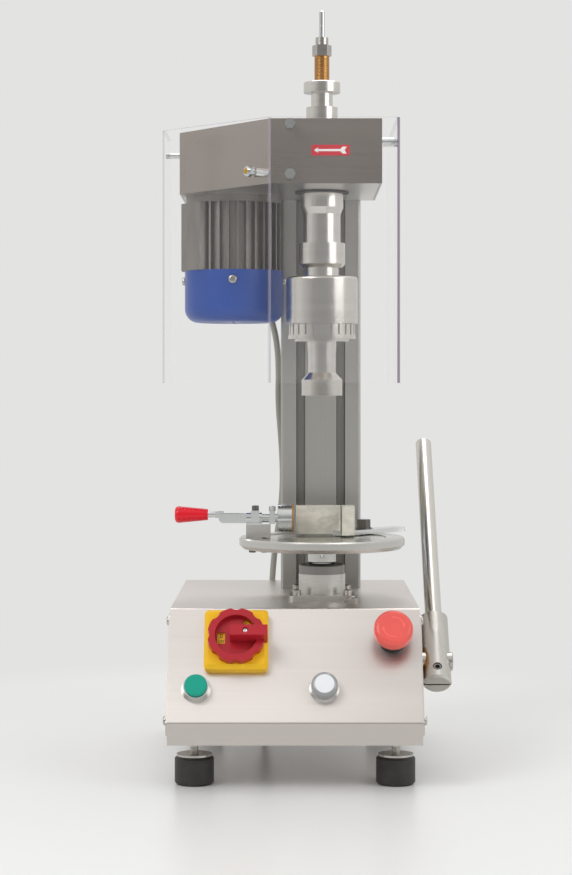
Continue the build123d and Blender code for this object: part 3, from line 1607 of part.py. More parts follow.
with BuildPart() as clutch_housing:
    add(
        lathe(
            spindle_place,
            (stop_rod_diameter / 2 + face_gap, clutch_bottom + clutch_recess_depth),
            (clutch_rotor / 2 + running_gap, clutch_bottom + clutch_recess_depth),
            (clutch_rotor / 2 + running_gap, clutch_bottom),
            (clutch_diameter / 2, clutch_bottom),
            (clutch_diameter / 2, clutch_top),
            (neck_diameter / 2, clutch_top),
            (neck_diameter / 2, clutch_collar_bottom),
            (clutch_shank / 2, clutch_collar_bottom),
            (clutch_shank / 2, clutch_shank_top),
            (stop_rod_diameter / 2 + face_gap, clutch_shank_top),
        )
    )
    rims = clutch_housing.edges().filter_by(GeomType.CIRCLE).filter_by(lambda e: e.radius > neck_diameter)
    fillet(rims.sort_by(Axis.Z)[-1], radius=clutch_round)
    with BuildSketch(Plane.XZ.offset(-spindle_y + clutch_diameter / 2)):
        with Locations((spindle_x, clutch_hole_z)):
            Circle(clutch_hole / 2)
    extrude(amount=-clutch_round, mode=Mode.SUBTRACT)

# Clutch ring with its notches, and the chuck below it
with BuildPart() as clutch_ring:
    add(
        lathe(
            spindle_place,
            (stop_rod_diameter / 2 + face_gap, ring_flange_bottom),
            (ring_flange_diameter / 2, ring_flange_bottom),
            (ring_flange_diameter / 2, ring_bottom),
            (ring_diameter / 2, ring_bottom),
            (ring_diameter / 2, clutch_bottom - face_gap),
            (clutch_rotor / 2, clutch_bottom - face_gap),
            (clutch_rotor / 2, clutch_bottom + clutch_recess_depth - face_gap),
            (stop_rod_diameter / 2 + face_gap, clutch_bottom + clutch_recess_depth - face_gap),
        )
    )
    with BuildSketch(Plane.XY.offset(ring_bottom)):
        with Locations(spindle_place):
            with PolarLocations(ring_diameter / 2, ring_notches):
                Rectangle(ring_notch, ring_notch / 2)
    extrude(amount=clutch_bottom - face_gap - ring_bottom, mode=Mode.SUBTRACT)

with BuildPart() as chuck:
    add(
        lathe(
            spindle_place,
            (stop_rod_diameter / 2 + face_gap, rod_bottom),
            (chuck_bore / 2, rod_bottom),
            (chuck_bore / 2, chuck_bottom + chuck_lead),
            (chuck_bore / 2 + chuck_lead, chuck_bottom),
            (chuck_diameter / 2, chuck_bottom),
            (chuck_diameter / 2, chuck_cone_bottom),
            (chuck_neck_diameter / 2, chuck_cone_top),
            (chuck_neck_diameter / 2, hub_neck_bottom),
            (hub_neck_diameter / 2, hub_neck_bottom),
            (hub_neck_diameter / 2, chuck_disc_bottom),
            (chuck_disc_diameter / 2, chuck_disc_bottom),
            (chuck_disc_diameter / 2, ring_flange_bottom),
            (stop_rod_diameter / 2 + face_gap, ring_flange_bottom),
        )
    )
    with BuildSketch(Plane.YZ.offset(spindle_x)):
        with Locations((spindle_y, (hub_neck_bottom + chuck_disc_bottom) / 2)):
            Circle(set_screw_hole / 2)
    extrude(amount=chuck_disc_diameter, mode=Mode.SUBTRACT)

# Top of the spindle: collar, threaded sleeve, nuts, and the stop rod through them all
with BuildPart() as top_collar:
    add(
        lathe(
            spindle_place,
            (spindle_neck / 2 + seat_gap, top_collar_bottom),
            (top_collar_diameter / 2, top_collar_bottom),
            (top_collar_diameter / 2, spindle_top),
            (spindle_neck / 2 + seat_gap, spindle_top),
        )
    )
    chamfer(top_collar.edges().group_by(Axis.Z)[-1].sort_by(SortBy.LENGTH)[-1], length=edge_bevel)

with BuildPart() as threaded_sleeve:
    add(
        lathe(
            spindle_place,
            (stop_rod_diameter / 2 + face_gap, spindle_top - thread_seat),
            (thread_spigot / 2, spindle_top - thread_seat),
            (thread_spigot / 2, spindle_top),
            (thread_diameter / 2, spindle_top),
            (thread_diameter / 2, thread_top),
            (thread_spigot / 2, thread_top),
            (thread_spigot / 2, thread_end),
            (stop_rod_diameter / 2 + face_gap, thread_end),
        )
    )

jam = hex_nut(thread_diameter, jam_nut_across, jam_nut)
with BuildPart() as sleeve_nuts:
    for level in (jam_nut_bottom, jam_nut_bottom + jam_nut + seat_gap):
        with Locations((spindle_x, spindle_y, level)):
            add(jam)
    add(
        lathe(
            spindle_place,
            (stop_rod_diameter / 2 + seat_gap, thread_end),
            (thread_spigot / 2 + seat_gap, thread_end),
            (thread_spigot / 2 + seat_gap, thread_top),
            (slotted_nut_diameter / 2, thread_top),
            (slotted_nut_diameter / 2, thread_end + slotted_nut_slot),
            (stop_rod_diameter / 2 + seat_gap, thread_end + slotted_nut_slot),
        )
    )
    with BuildSketch(Plane.XY.offset(thread_end)):
        with Locations(spindle_place):
            with PolarLocations(slotted_nut_diameter / 2, 4):
                Rectangle(slotted_nut_slot, slotted_nut_slot)
    extrude(amount=slotted_nut_slot, mode=Mode.SUBTRACT)

with BuildPart() as stop_rod:
    with BuildSketch(Plane.XY.offset(rod_bottom)):
        with Locations(spindle_place):
            Circle(stop_rod_diameter / 2)
    extrude(amount=rod_top - rod_bottom)
    chamfer(stop_rod.edges().group_by(Axis.Z)[-1], length=edge_bevel)

# Clear guard, one folded sheet
guard_holes = [(plane, guard_bolt) for plane in front_fixings + [side_fixing]]
guard_holes += [(right_pin.offset(pin_right_length), spacer_diameter)]
guard_holes += [(left_pin.offset(pin_left_length), slim_spacer)]
with BuildPart() as guard:
    with BuildSketch(Plane.XY.offset(guard_bottom)):
        with BuildLine():
            FilletPolyline(*guard_path, radius=guard_bend)
        trace(line_width=guard_wall)
    extrude(amount=guard_top - guard_bottom)
    for plane, diameter in guard_holes:
        with BuildSketch(plane):
            Circle(diameter / 2 + seat_gap)
        extrude(amount=guard_wall, both=True, mode=Mode.SUBTRACT)

# Stand-off bolts between the head and the guard
with BuildPart() as slope_spacer:
    with BuildSketch(side_fixing.offset(-guard_wall / 2)):
        Circle(spacer_diameter / 2)
    extrude(amount=guard_wall / 2 + guard_front - head_front)
    split(bisect_by=head_slope_face, keep=Keep.TOP)

with BuildPart() as guard_fixings:
    for plane in front_fixings:
        with BuildSketch(plane.offset(-guard_wall / 2)):
            Circle(spacer_diameter / 2)
        extrude(amount=guard_wall + guard_front - head_front)
    add(slope_spacer.part)
    for plane in front_fixings + [side_fixing]:
        with BuildSketch(plane.offset(-guard_wall)):
            Circle(guard_bolt / 2)
        extrude(amount=guard_bolt_grip + guard_nut + guard_bolt_end)
        with BuildSketch(plane.offset(guard_wall / 2)):
            RegularPolygon(hexagon(guard_nut_across), 6)
        extrude(amount=guard_nut)
    for plane, diameter, length in (
        (right_pin, spacer_diameter, pin_right_length),
        (left_pin, slim_spacer, pin_left_length),
    ):
        with BuildSketch(plane):
            Circle(diameter / 2)
        extrude(amount=length)

# Main switch: square plate and lobed handle on an axle
with BuildPart() as switch_plate:
    with BuildSketch(panel):
        with Locations(switch_at):
            RectangleRounded(plate_size, plate_size, plate_corner)
    extrude(amount=plate_height)
    chamfer(switch_plate.edges().group_by(panel_line)[-1], length=plate_bevel)
    with BuildSketch(panel):
        with Locations(switch_at):
            Circle(switch_axle / 2 + face_gap)
    extrude(amount=plate_height, mode=Mode.SUBTRACT)

with BuildPart() as switch_handle:
    with BuildSketch(panel.offset(handle_seat)):
        with Locations(switch_at):
            Circle(handle_diameter / 2)
            with PolarLocations(scallop_ring, handle_scallops):
                Circle(handle_scallop, mode=Mode.SUBTRACT)
    extrude(amount=handle_height)
    with BuildSketch(panel.offset(handle_seat + handle_floor)):
        with Locations(switch_at):
            Circle(handle_pocket / 2)
    extrude(amount=handle_height, mode=Mode.SUBTRACT)
    with BuildSketch(panel.offset(handle_seat)):
        with Locations(switch_at):
            with Locations((-handle_tail, 0)):
                Rectangle(handle_tail + handle_tip, handle_bar, align=(Align.MIN, Align.CENTER))
    extrude(amount=handle_bar_height)
    with BuildSketch(panel.offset(handle_seat + handle_bar_height)):
        with Locations(switch_at):
            with Locations((handle_screw_at, 0)):
                Circle(handle_screw_hole / 2)
    extrude(amount=-handle_screw_depth, mode=Mode.SUBTRACT)
    with BuildSketch(panel.offset(handle_seat)):
        with Locations(switch_at):
            with Locations(off_window_at):
                Rectangle(*off_window)
            with Locations(on_window_at):
                SlotOverall(*on_window, rotation=on_window_turn)
    extrude(amount=handle_floor, mode=Mode.SUBTRACT)
    with BuildSketch(panel.offset(-switch_axle_depth)):
        with Locations(switch_at):
            Circle(switch_axle / 2)
    extrude(amount=switch_axle_depth + handle_seat)

# Switch blocks behind the panel, and the collar of the stop button
with BuildPart() as switch_bodies:
    with BuildSketch(panel.offset(-sheet - seat_gap)):
        with Locations(switch_at):
            Rectangle(switch_box, switch_box)
    extrude(amount=-switch_box_depth)
    with BuildSketch(panel.offset(-sheet - seat_gap)):
        with Locations(start_at, lamp_at, estop_at):
            Rectangle(block_size, block_size)
    extrude(amount=-block_depth)
    with BuildSketch(panel.offset(-sheet - seat_gap)):
        with Locations(start_at, lamp_at, estop_at):
            Circle(panel_hole / 2 - seat_gap)
    extrude(amount=sheet + seat_gap)
    with BuildSketch(panel):
        with Locations(estop_at):
            Circle(estop_collar / 2)
    extrude(amount=estop_collar_height)
    with BuildSketch(panel.offset(-stem_pocket)):
        with Locations(start_at, lamp_at, estop_at):
            Circle(estop_stem / 2 + face_gap)
    extrude(amount=stem_pocket + estop_collar_height, mode=Mode.SUBTRACT)
    with BuildSketch(panel.offset(-switch_axle_depth - face_gap)):
        with Locations(switch_at):
            Circle(switch_axle / 2 + face_gap)
    extrude(amount=switch_axle_depth, mode=Mode.SUBTRACT)

with BuildPart() as button_bezels:
    for place, height in ((start_at, bezel_height), (lamp_at, lamp_bezel_height)):
        with BuildSketch(panel):
            with Locations(place):
                Circle(bezel_diameter / 2)
        with BuildSketch(panel.offset(height)):
            with Locations(place):
                Circle(bezel_top_diameter / 2)
        loft()
        with BuildSketch(panel):
            with Locations(place):
                Circle(button_diameter / 2 + face_gap)
        extrude(amount=height, mode=Mode.SUBTRACT)

# Start button, lamp lens and stop button
with BuildPart() as start_button:
    with BuildSketch(panel.offset(button_proud - button_cap)):
        with Locations(start_at):
            Circle(button_diameter / 2)
    extrude(amount=button_cap)
    chamfer(start_button.edges().group_by(panel_line)[-1], length=edge_bevel)
    with BuildSketch(panel.offset(-stem_depth)):
        with Locations(start_at):
            Circle(button_stem / 2)
    extrude(amount=stem_depth + button_proud - button_cap)

with BuildPart() as lamp_lens:
    with BuildSketch(panel.offset(lamp_bezel_height)):
        with Locations(lamp_at):
            Circle(lens_diameter / 2)
    extrude(amount=lens_proud - lamp_bezel_height)
    fillet(lamp_lens.edges().group_by(panel_line)[-1], radius=lens_round)
    with BuildSketch(panel.offset(-stem_depth)):
        with Locations(lamp_at):
            Circle(lens_spigot / 2)
    extrude(amount=stem_depth + lamp_bezel_height)

with BuildPart() as estop_button:
    with BuildSketch(panel.offset(estop_proud - estop_cap)):
        with Locations(estop_at):
            Circle(estop_diameter / 2)
    extrude(amount=estop_cap)
    fillet(estop_button.edges().group_by(panel_line)[-1], radius=estop_round)
    with BuildSketch(panel.offset(-stem_depth)):
        with Locations(estop_at):
            Circle(estop_stem / 2)
    extrude(amount=stem_depth + estop_proud - estop_cap)

# Screws of the frame: covers, guide, column, head, bearing housing, motor and fan cover
cover_dome_screw = dome_screw(cover_screw, cover_sheet + sheet + screw_end)
guide_cap_screw = cap_screw(guide_screw, guide_flange_height + sheet + frame_plate)
top_hex_bolt = hex_bolt(frame_bolt, frame_bolt_across, frame_bolt_head, sheet + frame_plate)
column_cap_screw = cap_screw(column_bolt, frame_plate + sheet + column_bolt_depth)
head_cap_screw = cap_screw(head_screw, back_plate + slot_lip + tee_nut_thickness)
boss_cap_screw = cap_screw(boss_screw, boss_flange_height + arm_thickness)
motor_cap_screw = cap_screw(motor_screw, head_plate + motor_screw_depth)
fan_dome_screw = dome_screw(fan_screw, fan_screw_length)
with BuildPart() as frame_screws:
    for flank_x, side in ((left_x - cover_sheet, -1), (right_x + cover_sheet, 1)):
        for spot_y, spot_z in cover_screw_spots:
            with Locations(Plane(origin=(flank_x, spot_y, spot_z), z_dir=(side, 0, 0)).location):
                add(cover_dome_screw)
    with Locations((spindle_x, spindle_y, base_top + guide_flange_height)):
        with GridLocations(guide_screw_pitch, guide_screw_pitch, 2, 2):
            add(guide_cap_screw)
    with Locations((frame_bolt_at[0], frame_bolt_at[1], base_top)):
        add(top_hex_bolt)
    with Locations(Plane(origin=(spindle_x, column_y, frame_bottom), z_dir=(0, 0, -1)).location):
        with GridLocations(slot_pitch, slot_pitch, 2, 2):
            add(column_cap_screw)
    for height in head_screw_z:
        for side in (-1, 1):
            spot = (spindle_x + side * slot_pitch / 2, column_front - back_plate, height)
            with Locations(Plane(origin=spot, z_dir=(0, -1, 0)).location):
                add(head_cap_screw)
    with BuildSketch(Plane.XZ.offset(-column_front - slot_lip)):
        for height in head_screw_z:
            with Locations((spindle_x - slot_pitch / 2, height), (spindle_x + slot_pitch / 2, height)):
                Rectangle(tee_nut, tee_nut - 2 * face_gap)
                Circle(head_screw / 2 + seat_gap, mode=Mode.SUBTRACT)
    extrude(amount=-tee_nut_thickness)
    with Locations(Plane(origin=(spindle_x, spindle_y, boss_bottom), z_dir=(0, 0, -1)).location):
        with PolarLocations(boss_screw_ring / 2, 4, start_angle=45):
            add(boss_cap_screw)
    with Locations((motor_x, motor_y, head_bottom + head_plate)):
        with GridLocations(motor_screw_pitch, motor_screw_pitch, 2, 2):
            add(motor_cap_screw)
    for spot in fan_screw_planes:
        with Locations(spot.location):
            add(fan_dome_screw)

# Label every piece and write it out
pieces = {
    "feet": feet,
    "foot_studs": foot_studs,
    "base_shell": base_shell,
    "base_floor": base_floor,
    "inner_frame": inner_frame,
    "side_covers": side_covers,
    "frame_screws": frame_screws,
    "column": column,
    "column_cap": column_cap,
    "lift_guide": lift_guide,
    "guide_cap": guide_cap,
    "shaft_seals": shaft_seals,
    "bronze_bushes": bronze_bushes,
    "lever_shaft": lever_shaft,
    "lever_pinion": lever_pinion,
    "lever_hub": lever_hub,
    "lever_rod": lever_rod,
    "hub_screws": hub_screws,
    "lift_shaft": lift_shaft,
    "table_collar": table_collar,
    "bottle_table": bottle_table,
    "clamp_block": clamp_block,
    "clamp_body": clamp_body,
    "table_screws": table_screws,
    "clamp_plunger": clamp_plunger,
    "clamp_link": clamp_link,
    "clamp_handle": clamp_handle,
    "clamp_grip": clamp_grip,
    "v_block": v_block,
    "fixture_bar": fixture_bar,
    "head_bracket": head_bracket,
    "head_cover": head_cover,
    "bearing_housing": bearing_housing,
    "ball_bearings": ball_bearings,
    "spindle_shaft": spindle_shaft,
    "drive_belt": drive_belt,
    "motor_housing": motor_housing,
    "motor_rotor": motor_rotor,
    "fan_cover": fan_cover,
    "terminal_box": terminal_box,
    "cable_glands": cable_glands,
    "motor_cable": motor_cable,
    "drive_sleeve": drive_sleeve,
    "clutch_collar": clutch_collar,
    "clutch_housing": clutch_housing,
    "clutch_ring": clutch_ring,
    "chuck": chuck,
    "top_collar": top_collar,
    "threaded_sleeve": threaded_sleeve,
    "sleeve_nuts": sleeve_nuts,
    "stop_rod": stop_rod,
    "guard": guard,
    "guard_fixings": guard_fixings,
    "switch_plate": switch_plate,
    "switch_handle": switch_handle,
    "switch_bodies": switch_bodies,
    "start_button": start_button,
    "button_bezels": button_bezels,
    "lamp_lens": lamp_lens,
    "estop_button": estop_button,
}
os.makedirs("parts", exist_ok=True)
for name, piece in pieces.items():
    piece.part.label = name
    export_step(piece.part, f"parts/{name}.step")
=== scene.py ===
import math

import bmesh
import bpy
from bpy.props import FloatProperty, FloatVectorProperty, IntProperty, PointerProperty
from mathutils import Matrix, Vector
from mathutils.bvhtree import BVHTree


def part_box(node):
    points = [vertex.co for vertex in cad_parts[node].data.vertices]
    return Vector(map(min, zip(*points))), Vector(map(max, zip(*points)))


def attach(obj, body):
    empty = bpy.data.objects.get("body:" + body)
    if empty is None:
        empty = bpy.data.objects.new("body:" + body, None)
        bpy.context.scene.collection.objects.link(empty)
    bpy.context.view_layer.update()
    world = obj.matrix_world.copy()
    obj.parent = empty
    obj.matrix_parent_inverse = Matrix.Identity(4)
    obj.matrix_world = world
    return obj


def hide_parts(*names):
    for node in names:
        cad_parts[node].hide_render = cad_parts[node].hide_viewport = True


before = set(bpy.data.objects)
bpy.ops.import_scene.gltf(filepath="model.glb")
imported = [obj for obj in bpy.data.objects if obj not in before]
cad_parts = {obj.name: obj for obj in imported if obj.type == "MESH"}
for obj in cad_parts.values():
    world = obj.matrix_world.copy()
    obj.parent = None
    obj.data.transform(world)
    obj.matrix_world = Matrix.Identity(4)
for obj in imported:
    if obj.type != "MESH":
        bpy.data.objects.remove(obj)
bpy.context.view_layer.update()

bl_info = {
    "name": "Lever capper",
    "version": (1, 0, 0),
    "blender": (4, 5, 0),
    "location": "View3D > Sidebar > Capper",
    "description": "Dresses a bench capping machine and sets its studio",
    "category": "Object",
}

MM = 0.001
INK = 0.12 * MM

# Places of the machine that several pieces are built round
shell_low, shell_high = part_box("base_shell")
sleeve_low, sleeve_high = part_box("threaded_sleeve")
cover_low, cover_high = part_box("fan_cover")
CONSOLE_X = (shell_low[0] + shell_high[0]) / 2
SPINDLE = ((sleeve_low[0] + sleeve_high[0]) / 2, (sleeve_low[1] + sleeve_high[1]) / 2)
MOTOR = ((cover_low[0] + cover_high[0]) / 2, (cover_low[1] + cover_high[1]) / 2)
FRONT_UPRIGHT = 22.6 * MM
PANEL_FOOT = Vector((CONSOLE_X, shell_low[1], shell_low[2] + FRONT_UPRIGHT))
PANEL_LEAN = math.radians(30)
BLOCK_JOINT = CONSOLE_X + 50 * MM
PAD_FACE = 2.4 * MM
BRASS_RADIUS = 3 * MM

# Controls: millimetres across the sloped panel, up it and out of it
SWITCH = (-59.6, 86.0)
STOP_BUTTON = (99.3, 90.0)
LAMP = (29.6, 36.0)
SWITCH_FACE = 13.0
HANDLE_TOP = 34.3
HANDLE_SCREW_ACROSS = 9.6
HANDLE_SCREW_DEPTH = 3.0
LENS_MIDDLE = 7.8
STOP_ARROW_RADIUS = 10.6

# Threads, in millimetres
SLEEVE_THREAD = (733.0, 759.0)
STUD_THREAD = (30.0, 39.0)
FOOT_ACROSS = 102.5
FOOT_ALONG = 145.0

# Label on the head's front
LABEL_ACROSS = 36.7
LABEL_UP = 648.4


# Sizes and colours that can be changed


def linear(code):
    """Scene colour of a hexadecimal one."""
    channels = [int(code[i : i + 2], 16) / 255 for i in (0, 2, 4)]
    return tuple(c / 12.92 if c <= 0.04045 else ((c + 0.055) / 1.055) ** 2.4 for c in channels)


def colour(name, description, code):
    return FloatVectorProperty(
        name=name, description=description, subtype="COLOR", size=3, min=0, max=1, default=linear(code)
    )


def length(name, description, value):
    return FloatProperty(name=name, description=description, unit="LENGTH", default=value, min=0, precision=5)


def factor(name, description, value):
    return FloatProperty(name=name, description=description, subtype="FACTOR", default=value, precision=4)


def power(name, description, value):
    return FloatProperty(name=name, description=description, unit="POWER", default=value, min=0)


class CapperColours(bpy.types.PropertyGroup):
    """Base colours of the finishes."""

    console_sheet: colour("Console sheet", "Brushed sheet of the console", "d5cec9")
    head_sheet: colour("Head sheet", "Brushed sheet over the head", "a0978f")
    turned_steel: colour("Turned steel", "Sleeve, clutch and chuck", "d6d2cc")
    plain_steel: colour("Plain steel", "Screws, shafts and hidden steel", "bdb9b4")
    chrome: colour("Chrome", "Plated clamp, bezels and lift shaft", "dcdedd")
    alloy: colour("Alloy", "Table, guide and bracket", "cfcdc8")
    column: colour("Column", "Anodised slotted profile", "b6b5b0")
    casting: colour("Casting", "Motor housing", "86817b")
    bronze: colour("Bronze", "Threaded sleeve and bushes", "b98a55")
    brass: colour("Brass", "Tip of one guard bolt", "c9a24a")
    blue_paint: colour("Blue paint", "Fan cover", "04429a")
    switch_yellow: colour("Switch yellow", "Plate of the main switch", "f6c012")
    handle_red: colour("Handle red", "Handle of the main switch", "b3202d")
    grip_red: colour("Grip red", "Grip of the push clamp", "e00a24")
    stop_red: colour("Stop red", "Mushroom stop button", "ea5f57")
    start_green: colour("Start green", "Start button", "009d86")
    lamp_white: colour("Lamp white", "Lens of the signal lamp", "eef0f4")
    rubber: colour("Rubber", "Feet, seals and belt", "2b2826")
    black_plastic: colour("Black plastic", "Glands, caps and switch blocks", "1d1d1f")
    cable_grey: colour("Cable grey", "Sheath of the motor lead", "a3a298")
    block_stone: colour("Block stone", "Pale corner block of the bottle stop", "dedacd")
    pad_tan: colour("Pad tan", "Face of the clamp's pad", "9d7a55")
    label_red: colour("Label red", "Turning direction label", "cf2233")
    label_white: colour("Label white", "Arrow and light marks", "f3f1ee")
    guard_clear: colour("Guard clear", "Faces of the clear guard", "f2f1f5")
    guard_edge: colour("Guard edge", "Bends and sawn edges of the clear guard", "6a5874")


class CapperSizes(bpy.types.PropertyGroup):
    """Sizes of the pieces made here."""

    lead_diameter: length("Lead diameter", "Outside of the motor lead", 0.007)
    lead_length: length("Lead length", "Motor lead from gland to gland", 0.62)
    thread_pitch: length("Thread pitch", "Pitch of the sleeve's thread", 0.0015)
    stud_pitch: length("Stud pitch", "Pitch of the threads on the feet's studs", 0.00125)
    label_width: length("Label width", "Turning direction label, side to side", 0.0394)
    label_height: length("Label height", "Turning direction label, top to bottom", 0.0111)
    mark_height: length("Mark height", "Height of the switch's numbers", 0.0064)
    lens_flutes: IntProperty(
        name="Lens flutes", description="Ribs round the lamp's lens", subtype="UNSIGNED", default=40, min=8
    )


class CapperStudio(bpy.types.PropertyGroup):
    """Camera, lamps and floor."""

    distance: length("Camera distance", "From the console's axis to the camera", 2.249)
    eye_height: length("Camera height", "Camera above the floor", 0.4049)
    lens: FloatProperty(name="Lens", description="Focal length", subtype="DISTANCE_CAMERA", default=85)
    shift_x: factor("Shift across", "Picture moved sideways, as a share of its height", -0.0103)
    shift_y: factor("Shift up", "Picture moved upwards, as a share of its height", -0.0589)
    key: power("Key lamp", "Power of the front left lamp", 24)
    fill: power("Fill lamp", "Power of the front right lamp", 13)
    top: power("Top lamp", "Power of the lamp overhead", 15)
    wall: colour("Wall", "Colour behind the machine", "e3e3e2")
    floor: colour("Floor", "Colour of the floor near the machine", "f2f2f1")
    floor_edge: length("Floor edge", "Where the pale floor passes into the wall's colour", 0.66)


# Shader maths


class Level:
    """A number in a shader, whose operators add Math nodes."""

    def __init__(self, tree, socket):
        self.tree = tree
        self.socket = socket

    def maths(self, operation, *values):
        node = self.tree.nodes.new("ShaderNodeMath")
        node.operation = operation
        for socket, value in zip(node.inputs, values):
            feed(self.tree, socket, value)
        return Level(self.tree, node.outputs[0])

    def __add__(self, other):
        return self.maths("ADD", self, other)

    def __sub__(self, other):
        return self.maths("SUBTRACT", self, other)

    def __rsub__(self, other):
        return self.maths("SUBTRACT", other, self)

    def __mul__(self, other):
        return self.maths("MULTIPLY", self, other)

    def __pow__(self, other):
        return self.maths("POWER", self, other)

    def __gt__(self, other):
        return self.maths("GREATER_THAN", self, other)

    def __lt__(self, other):
        return self.maths("LESS_THAN", self, other)

    def __abs__(self):
        return self.maths("ABSOLUTE", self)

    def larger(self, other):
        return self.maths("MAXIMUM", self, other)

    def smaller(self, other):
        return self.maths("MINIMUM", self, other)

    def ramp(self, low, high):
        """0 up to low, 1 from high on."""
        return ((self - low) * (1 / (high - low))).larger(0.0).smaller(1.0)

    __radd__ = __add__
    __rmul__ = __mul__


def feed(tree, socket, value):
    """Links a value to a socket, or writes it there."""
    if isinstance(value, Level):
        tree.links.new(value.socket, socket)
    elif isinstance(value, bpy.types.NodeSocket):
        tree.links.new(value, socket)
    else:
        socket.default_value = value


class Shader:
    """A node tree that is written as expressions."""

    def __init__(self, tree):
        self.tree = tree

    def node(self, kind, settings=None, **values):
        node = self.tree.nodes.new(kind)
        for key, value in (settings or {}).items():
            setattr(node, key, value)
        for key, value in values.items():
            feed(self.tree, node.inputs[key.replace("_", " ")], value)
        return node

    def level(self, node, output):
        return Level(self.tree, node.outputs[output])

    def parts(self, vector):
        split = self.node("ShaderNodeSeparateXYZ", Vector=vector)
        return [Level(self.tree, output) for output in split.outputs]

    def blend(self, factor, low, high):
        mix = self.node("ShaderNodeMix", {"data_type": "RGBA"})
        for index, value in ((0, factor), (6, low), (7, high)):
            feed(self.tree, mix.inputs[index], value)
        return mix.outputs[2]


class Finish(Shader):
    """A material with one Principled shader."""

    def __init__(self, name, **sockets):
        self.material = bpy.data.materials.new(name)
        self.material.use_nodes = True
        super().__init__(self.material.node_tree)
        self.surface = self.tree.nodes["Principled BSDF"]
        self.spot = self.node("ShaderNodeTexCoord").outputs["Object"]
        for socket, value in sockets.items():
            self.set(socket.replace("_", " "), value)

    def set(self, socket, value):
        feed(self.tree, self.surface.inputs[socket], value)

    def place(self, scale=(1, 1, 1), turn=(0, 0, 0)):
        return self.node("ShaderNodeMapping", Vector=self.spot, Scale=scale, Rotation=turn).outputs[0]

    def noise(self, vector, scale=1.0, detail=3.0, roughness=0.55):
        values = {"Vector": vector, "Scale": scale, "Detail": detail, "Roughness": roughness}
        return self.level(self.node("ShaderNodeTexNoise", **values), 0)

    def rings(self, distance, scale, detail=3.0):
        line = {"noise_dimensions": "1D"}
        return self.level(self.node("ShaderNodeTexNoise", line, W=distance, Scale=scale, Detail=detail), 0)

    def radius(self, centre):
        """Distance from an upright axis."""
        x, y = self.parts(self.spot)[:2]
        return ((x - centre[0]) ** 2 + (y - centre[1]) ** 2) ** 0.5

    def bump(self, height, distance, strength=0.4):
        relief = self.node("ShaderNodeBump", Height=height, Distance=distance, Strength=strength)
        self.set("Normal", relief.outputs[0])


def tint(shade, factor):
    """A colour made darker or lighter, with its alpha."""
    return tuple(min(1.0, channel * factor) for channel in shade[:3]) + (1.0,)


# Finishes


def brushed(name, shade, grain, roughness=0.3, depth=0.04, spread=0.08, anisotropy=0.45):
    """Satin sheet or rod with fine scratches along one direction."""
    look = Finish(name, Metallic=1.0, Anisotropic=anisotropy)
    lines = look.noise(look.place(grain), detail=4.0, roughness=0.7)
    clouds = look.noise(look.place([step * 0.02 + 1 for step in grain]), detail=2.0)
    both = lines * 0.6 + clouds * 0.4
    look.set("Base Color", look.blend(both, tint(shade, 1 - spread), tint(shade, 1 + spread)))
    look.set("Roughness", roughness + (lines - 0.5) * 0.16 + (clouds - 0.5) * 0.1)
    look.bump(lines, depth * MM, 0.25)
    return look.material


def turned(name, shade, centre=SPINDLE, roughness=0.2, scale=1100.0, spread=0.14, anisotropy=0.6):
    """Lathe-turned metal, with tool marks round an upright axis."""
    look = Finish(name, Metallic=1.0, Anisotropic=anisotropy)
    travel = look.radius(centre) + look.parts(look.spot)[2]
    lines = look.rings(travel, scale, 4.0)
    bands = look.rings(travel, scale / 16)
    both = lines * 0.55 + bands * 0.45
    look.set("Base Color", look.blend(both, tint(shade, 1 - spread), tint(shade, 1 + spread * 0.7)))
    look.set("Roughness", roughness + (lines - 0.5) * 0.16 + (bands - 0.5) * 0.12)
    look.bump(lines, 0.03 * MM, 0.3)
    return look.material


def plated(name, shade, roughness=0.14):
    """Bright plating with faint clouds and fine scratches."""
    look = Finish(name, Metallic=1.0)
    clouds = look.noise(look.spot, scale=70.0)
    scratches = look.noise(look.place((300, 300, 2400), (0.4, 0.2, 0)), detail=2.0)
    look.set("Base Color", look.blend(clouds, tint(shade, 0.86), tint(shade, 1.08)))
    look.set("Roughness", roughness + (clouds - 0.4) * 0.1 + (scratches - 0.5) * 0.1)
    return look.material


def cast(name, shade, roughness=0.42):
    """Cast alloy, lightly pitted, with stained and worn places."""
    look = Finish(name, Metallic=0.9)
    pits = look.noise(look.spot, scale=420.0, detail=4.0)
    stains = look.noise(look.place((1, 1, 0.3)), scale=30.0)
    both = stains * 0.6 + pits * 0.4
    look.set("Base Color", look.blend(both.ramp(0.3, 0.7), tint(shade, 0.7), tint(shade, 1.3)))
    look.set("Roughness", roughness + (pits - 0.5) * 0.2)
    look.bump(pits, 0.1 * MM, 0.5)
    return look.material


def coated(name, shade, grain=420.0, depth=0.05, roughness=0.3, coat=0.25, spread=0.1):
    """Paint or moulded plastic with a fine skin and faint clouds."""
    look = Finish(name, Coat_Weight=coat, Coat_Roughness=0.14, Specular_IOR_Level=0.25)
    skin = look.noise(look.spot, scale=grain, detail=2.0)
    clouds = look.noise(look.spot, scale=24.0, detail=2.0)
    look.set("Base Color", look.blend(clouds, tint(shade, 1 - spread), tint(shade, 1 + spread)))
    look.set("Roughness", roughness + (clouds - 0.5) * 0.12 + (skin - 0.5) * 0.06)
    look.bump(skin, depth * MM, 0.35)
    return look.material


def rubber(name, shade, roughness=0.55):
    """Matt rubber with a dusty bloom."""
    look = Finish(name)
    dust = look.noise(look.spot, scale=80.0, detail=5.0)
    pores = look.noise(look.spot, scale=1000.0, detail=2.0)
    look.set("Base Color", look.blend(dust.ramp(0.3, 0.75), tint(shade, 0.8), tint(shade, 1.7)))
    look.set("Roughness", roughness + (dust - 0.5) * 0.25)
    look.bump(pores, 0.05 * MM, 0.5)
    return look.material


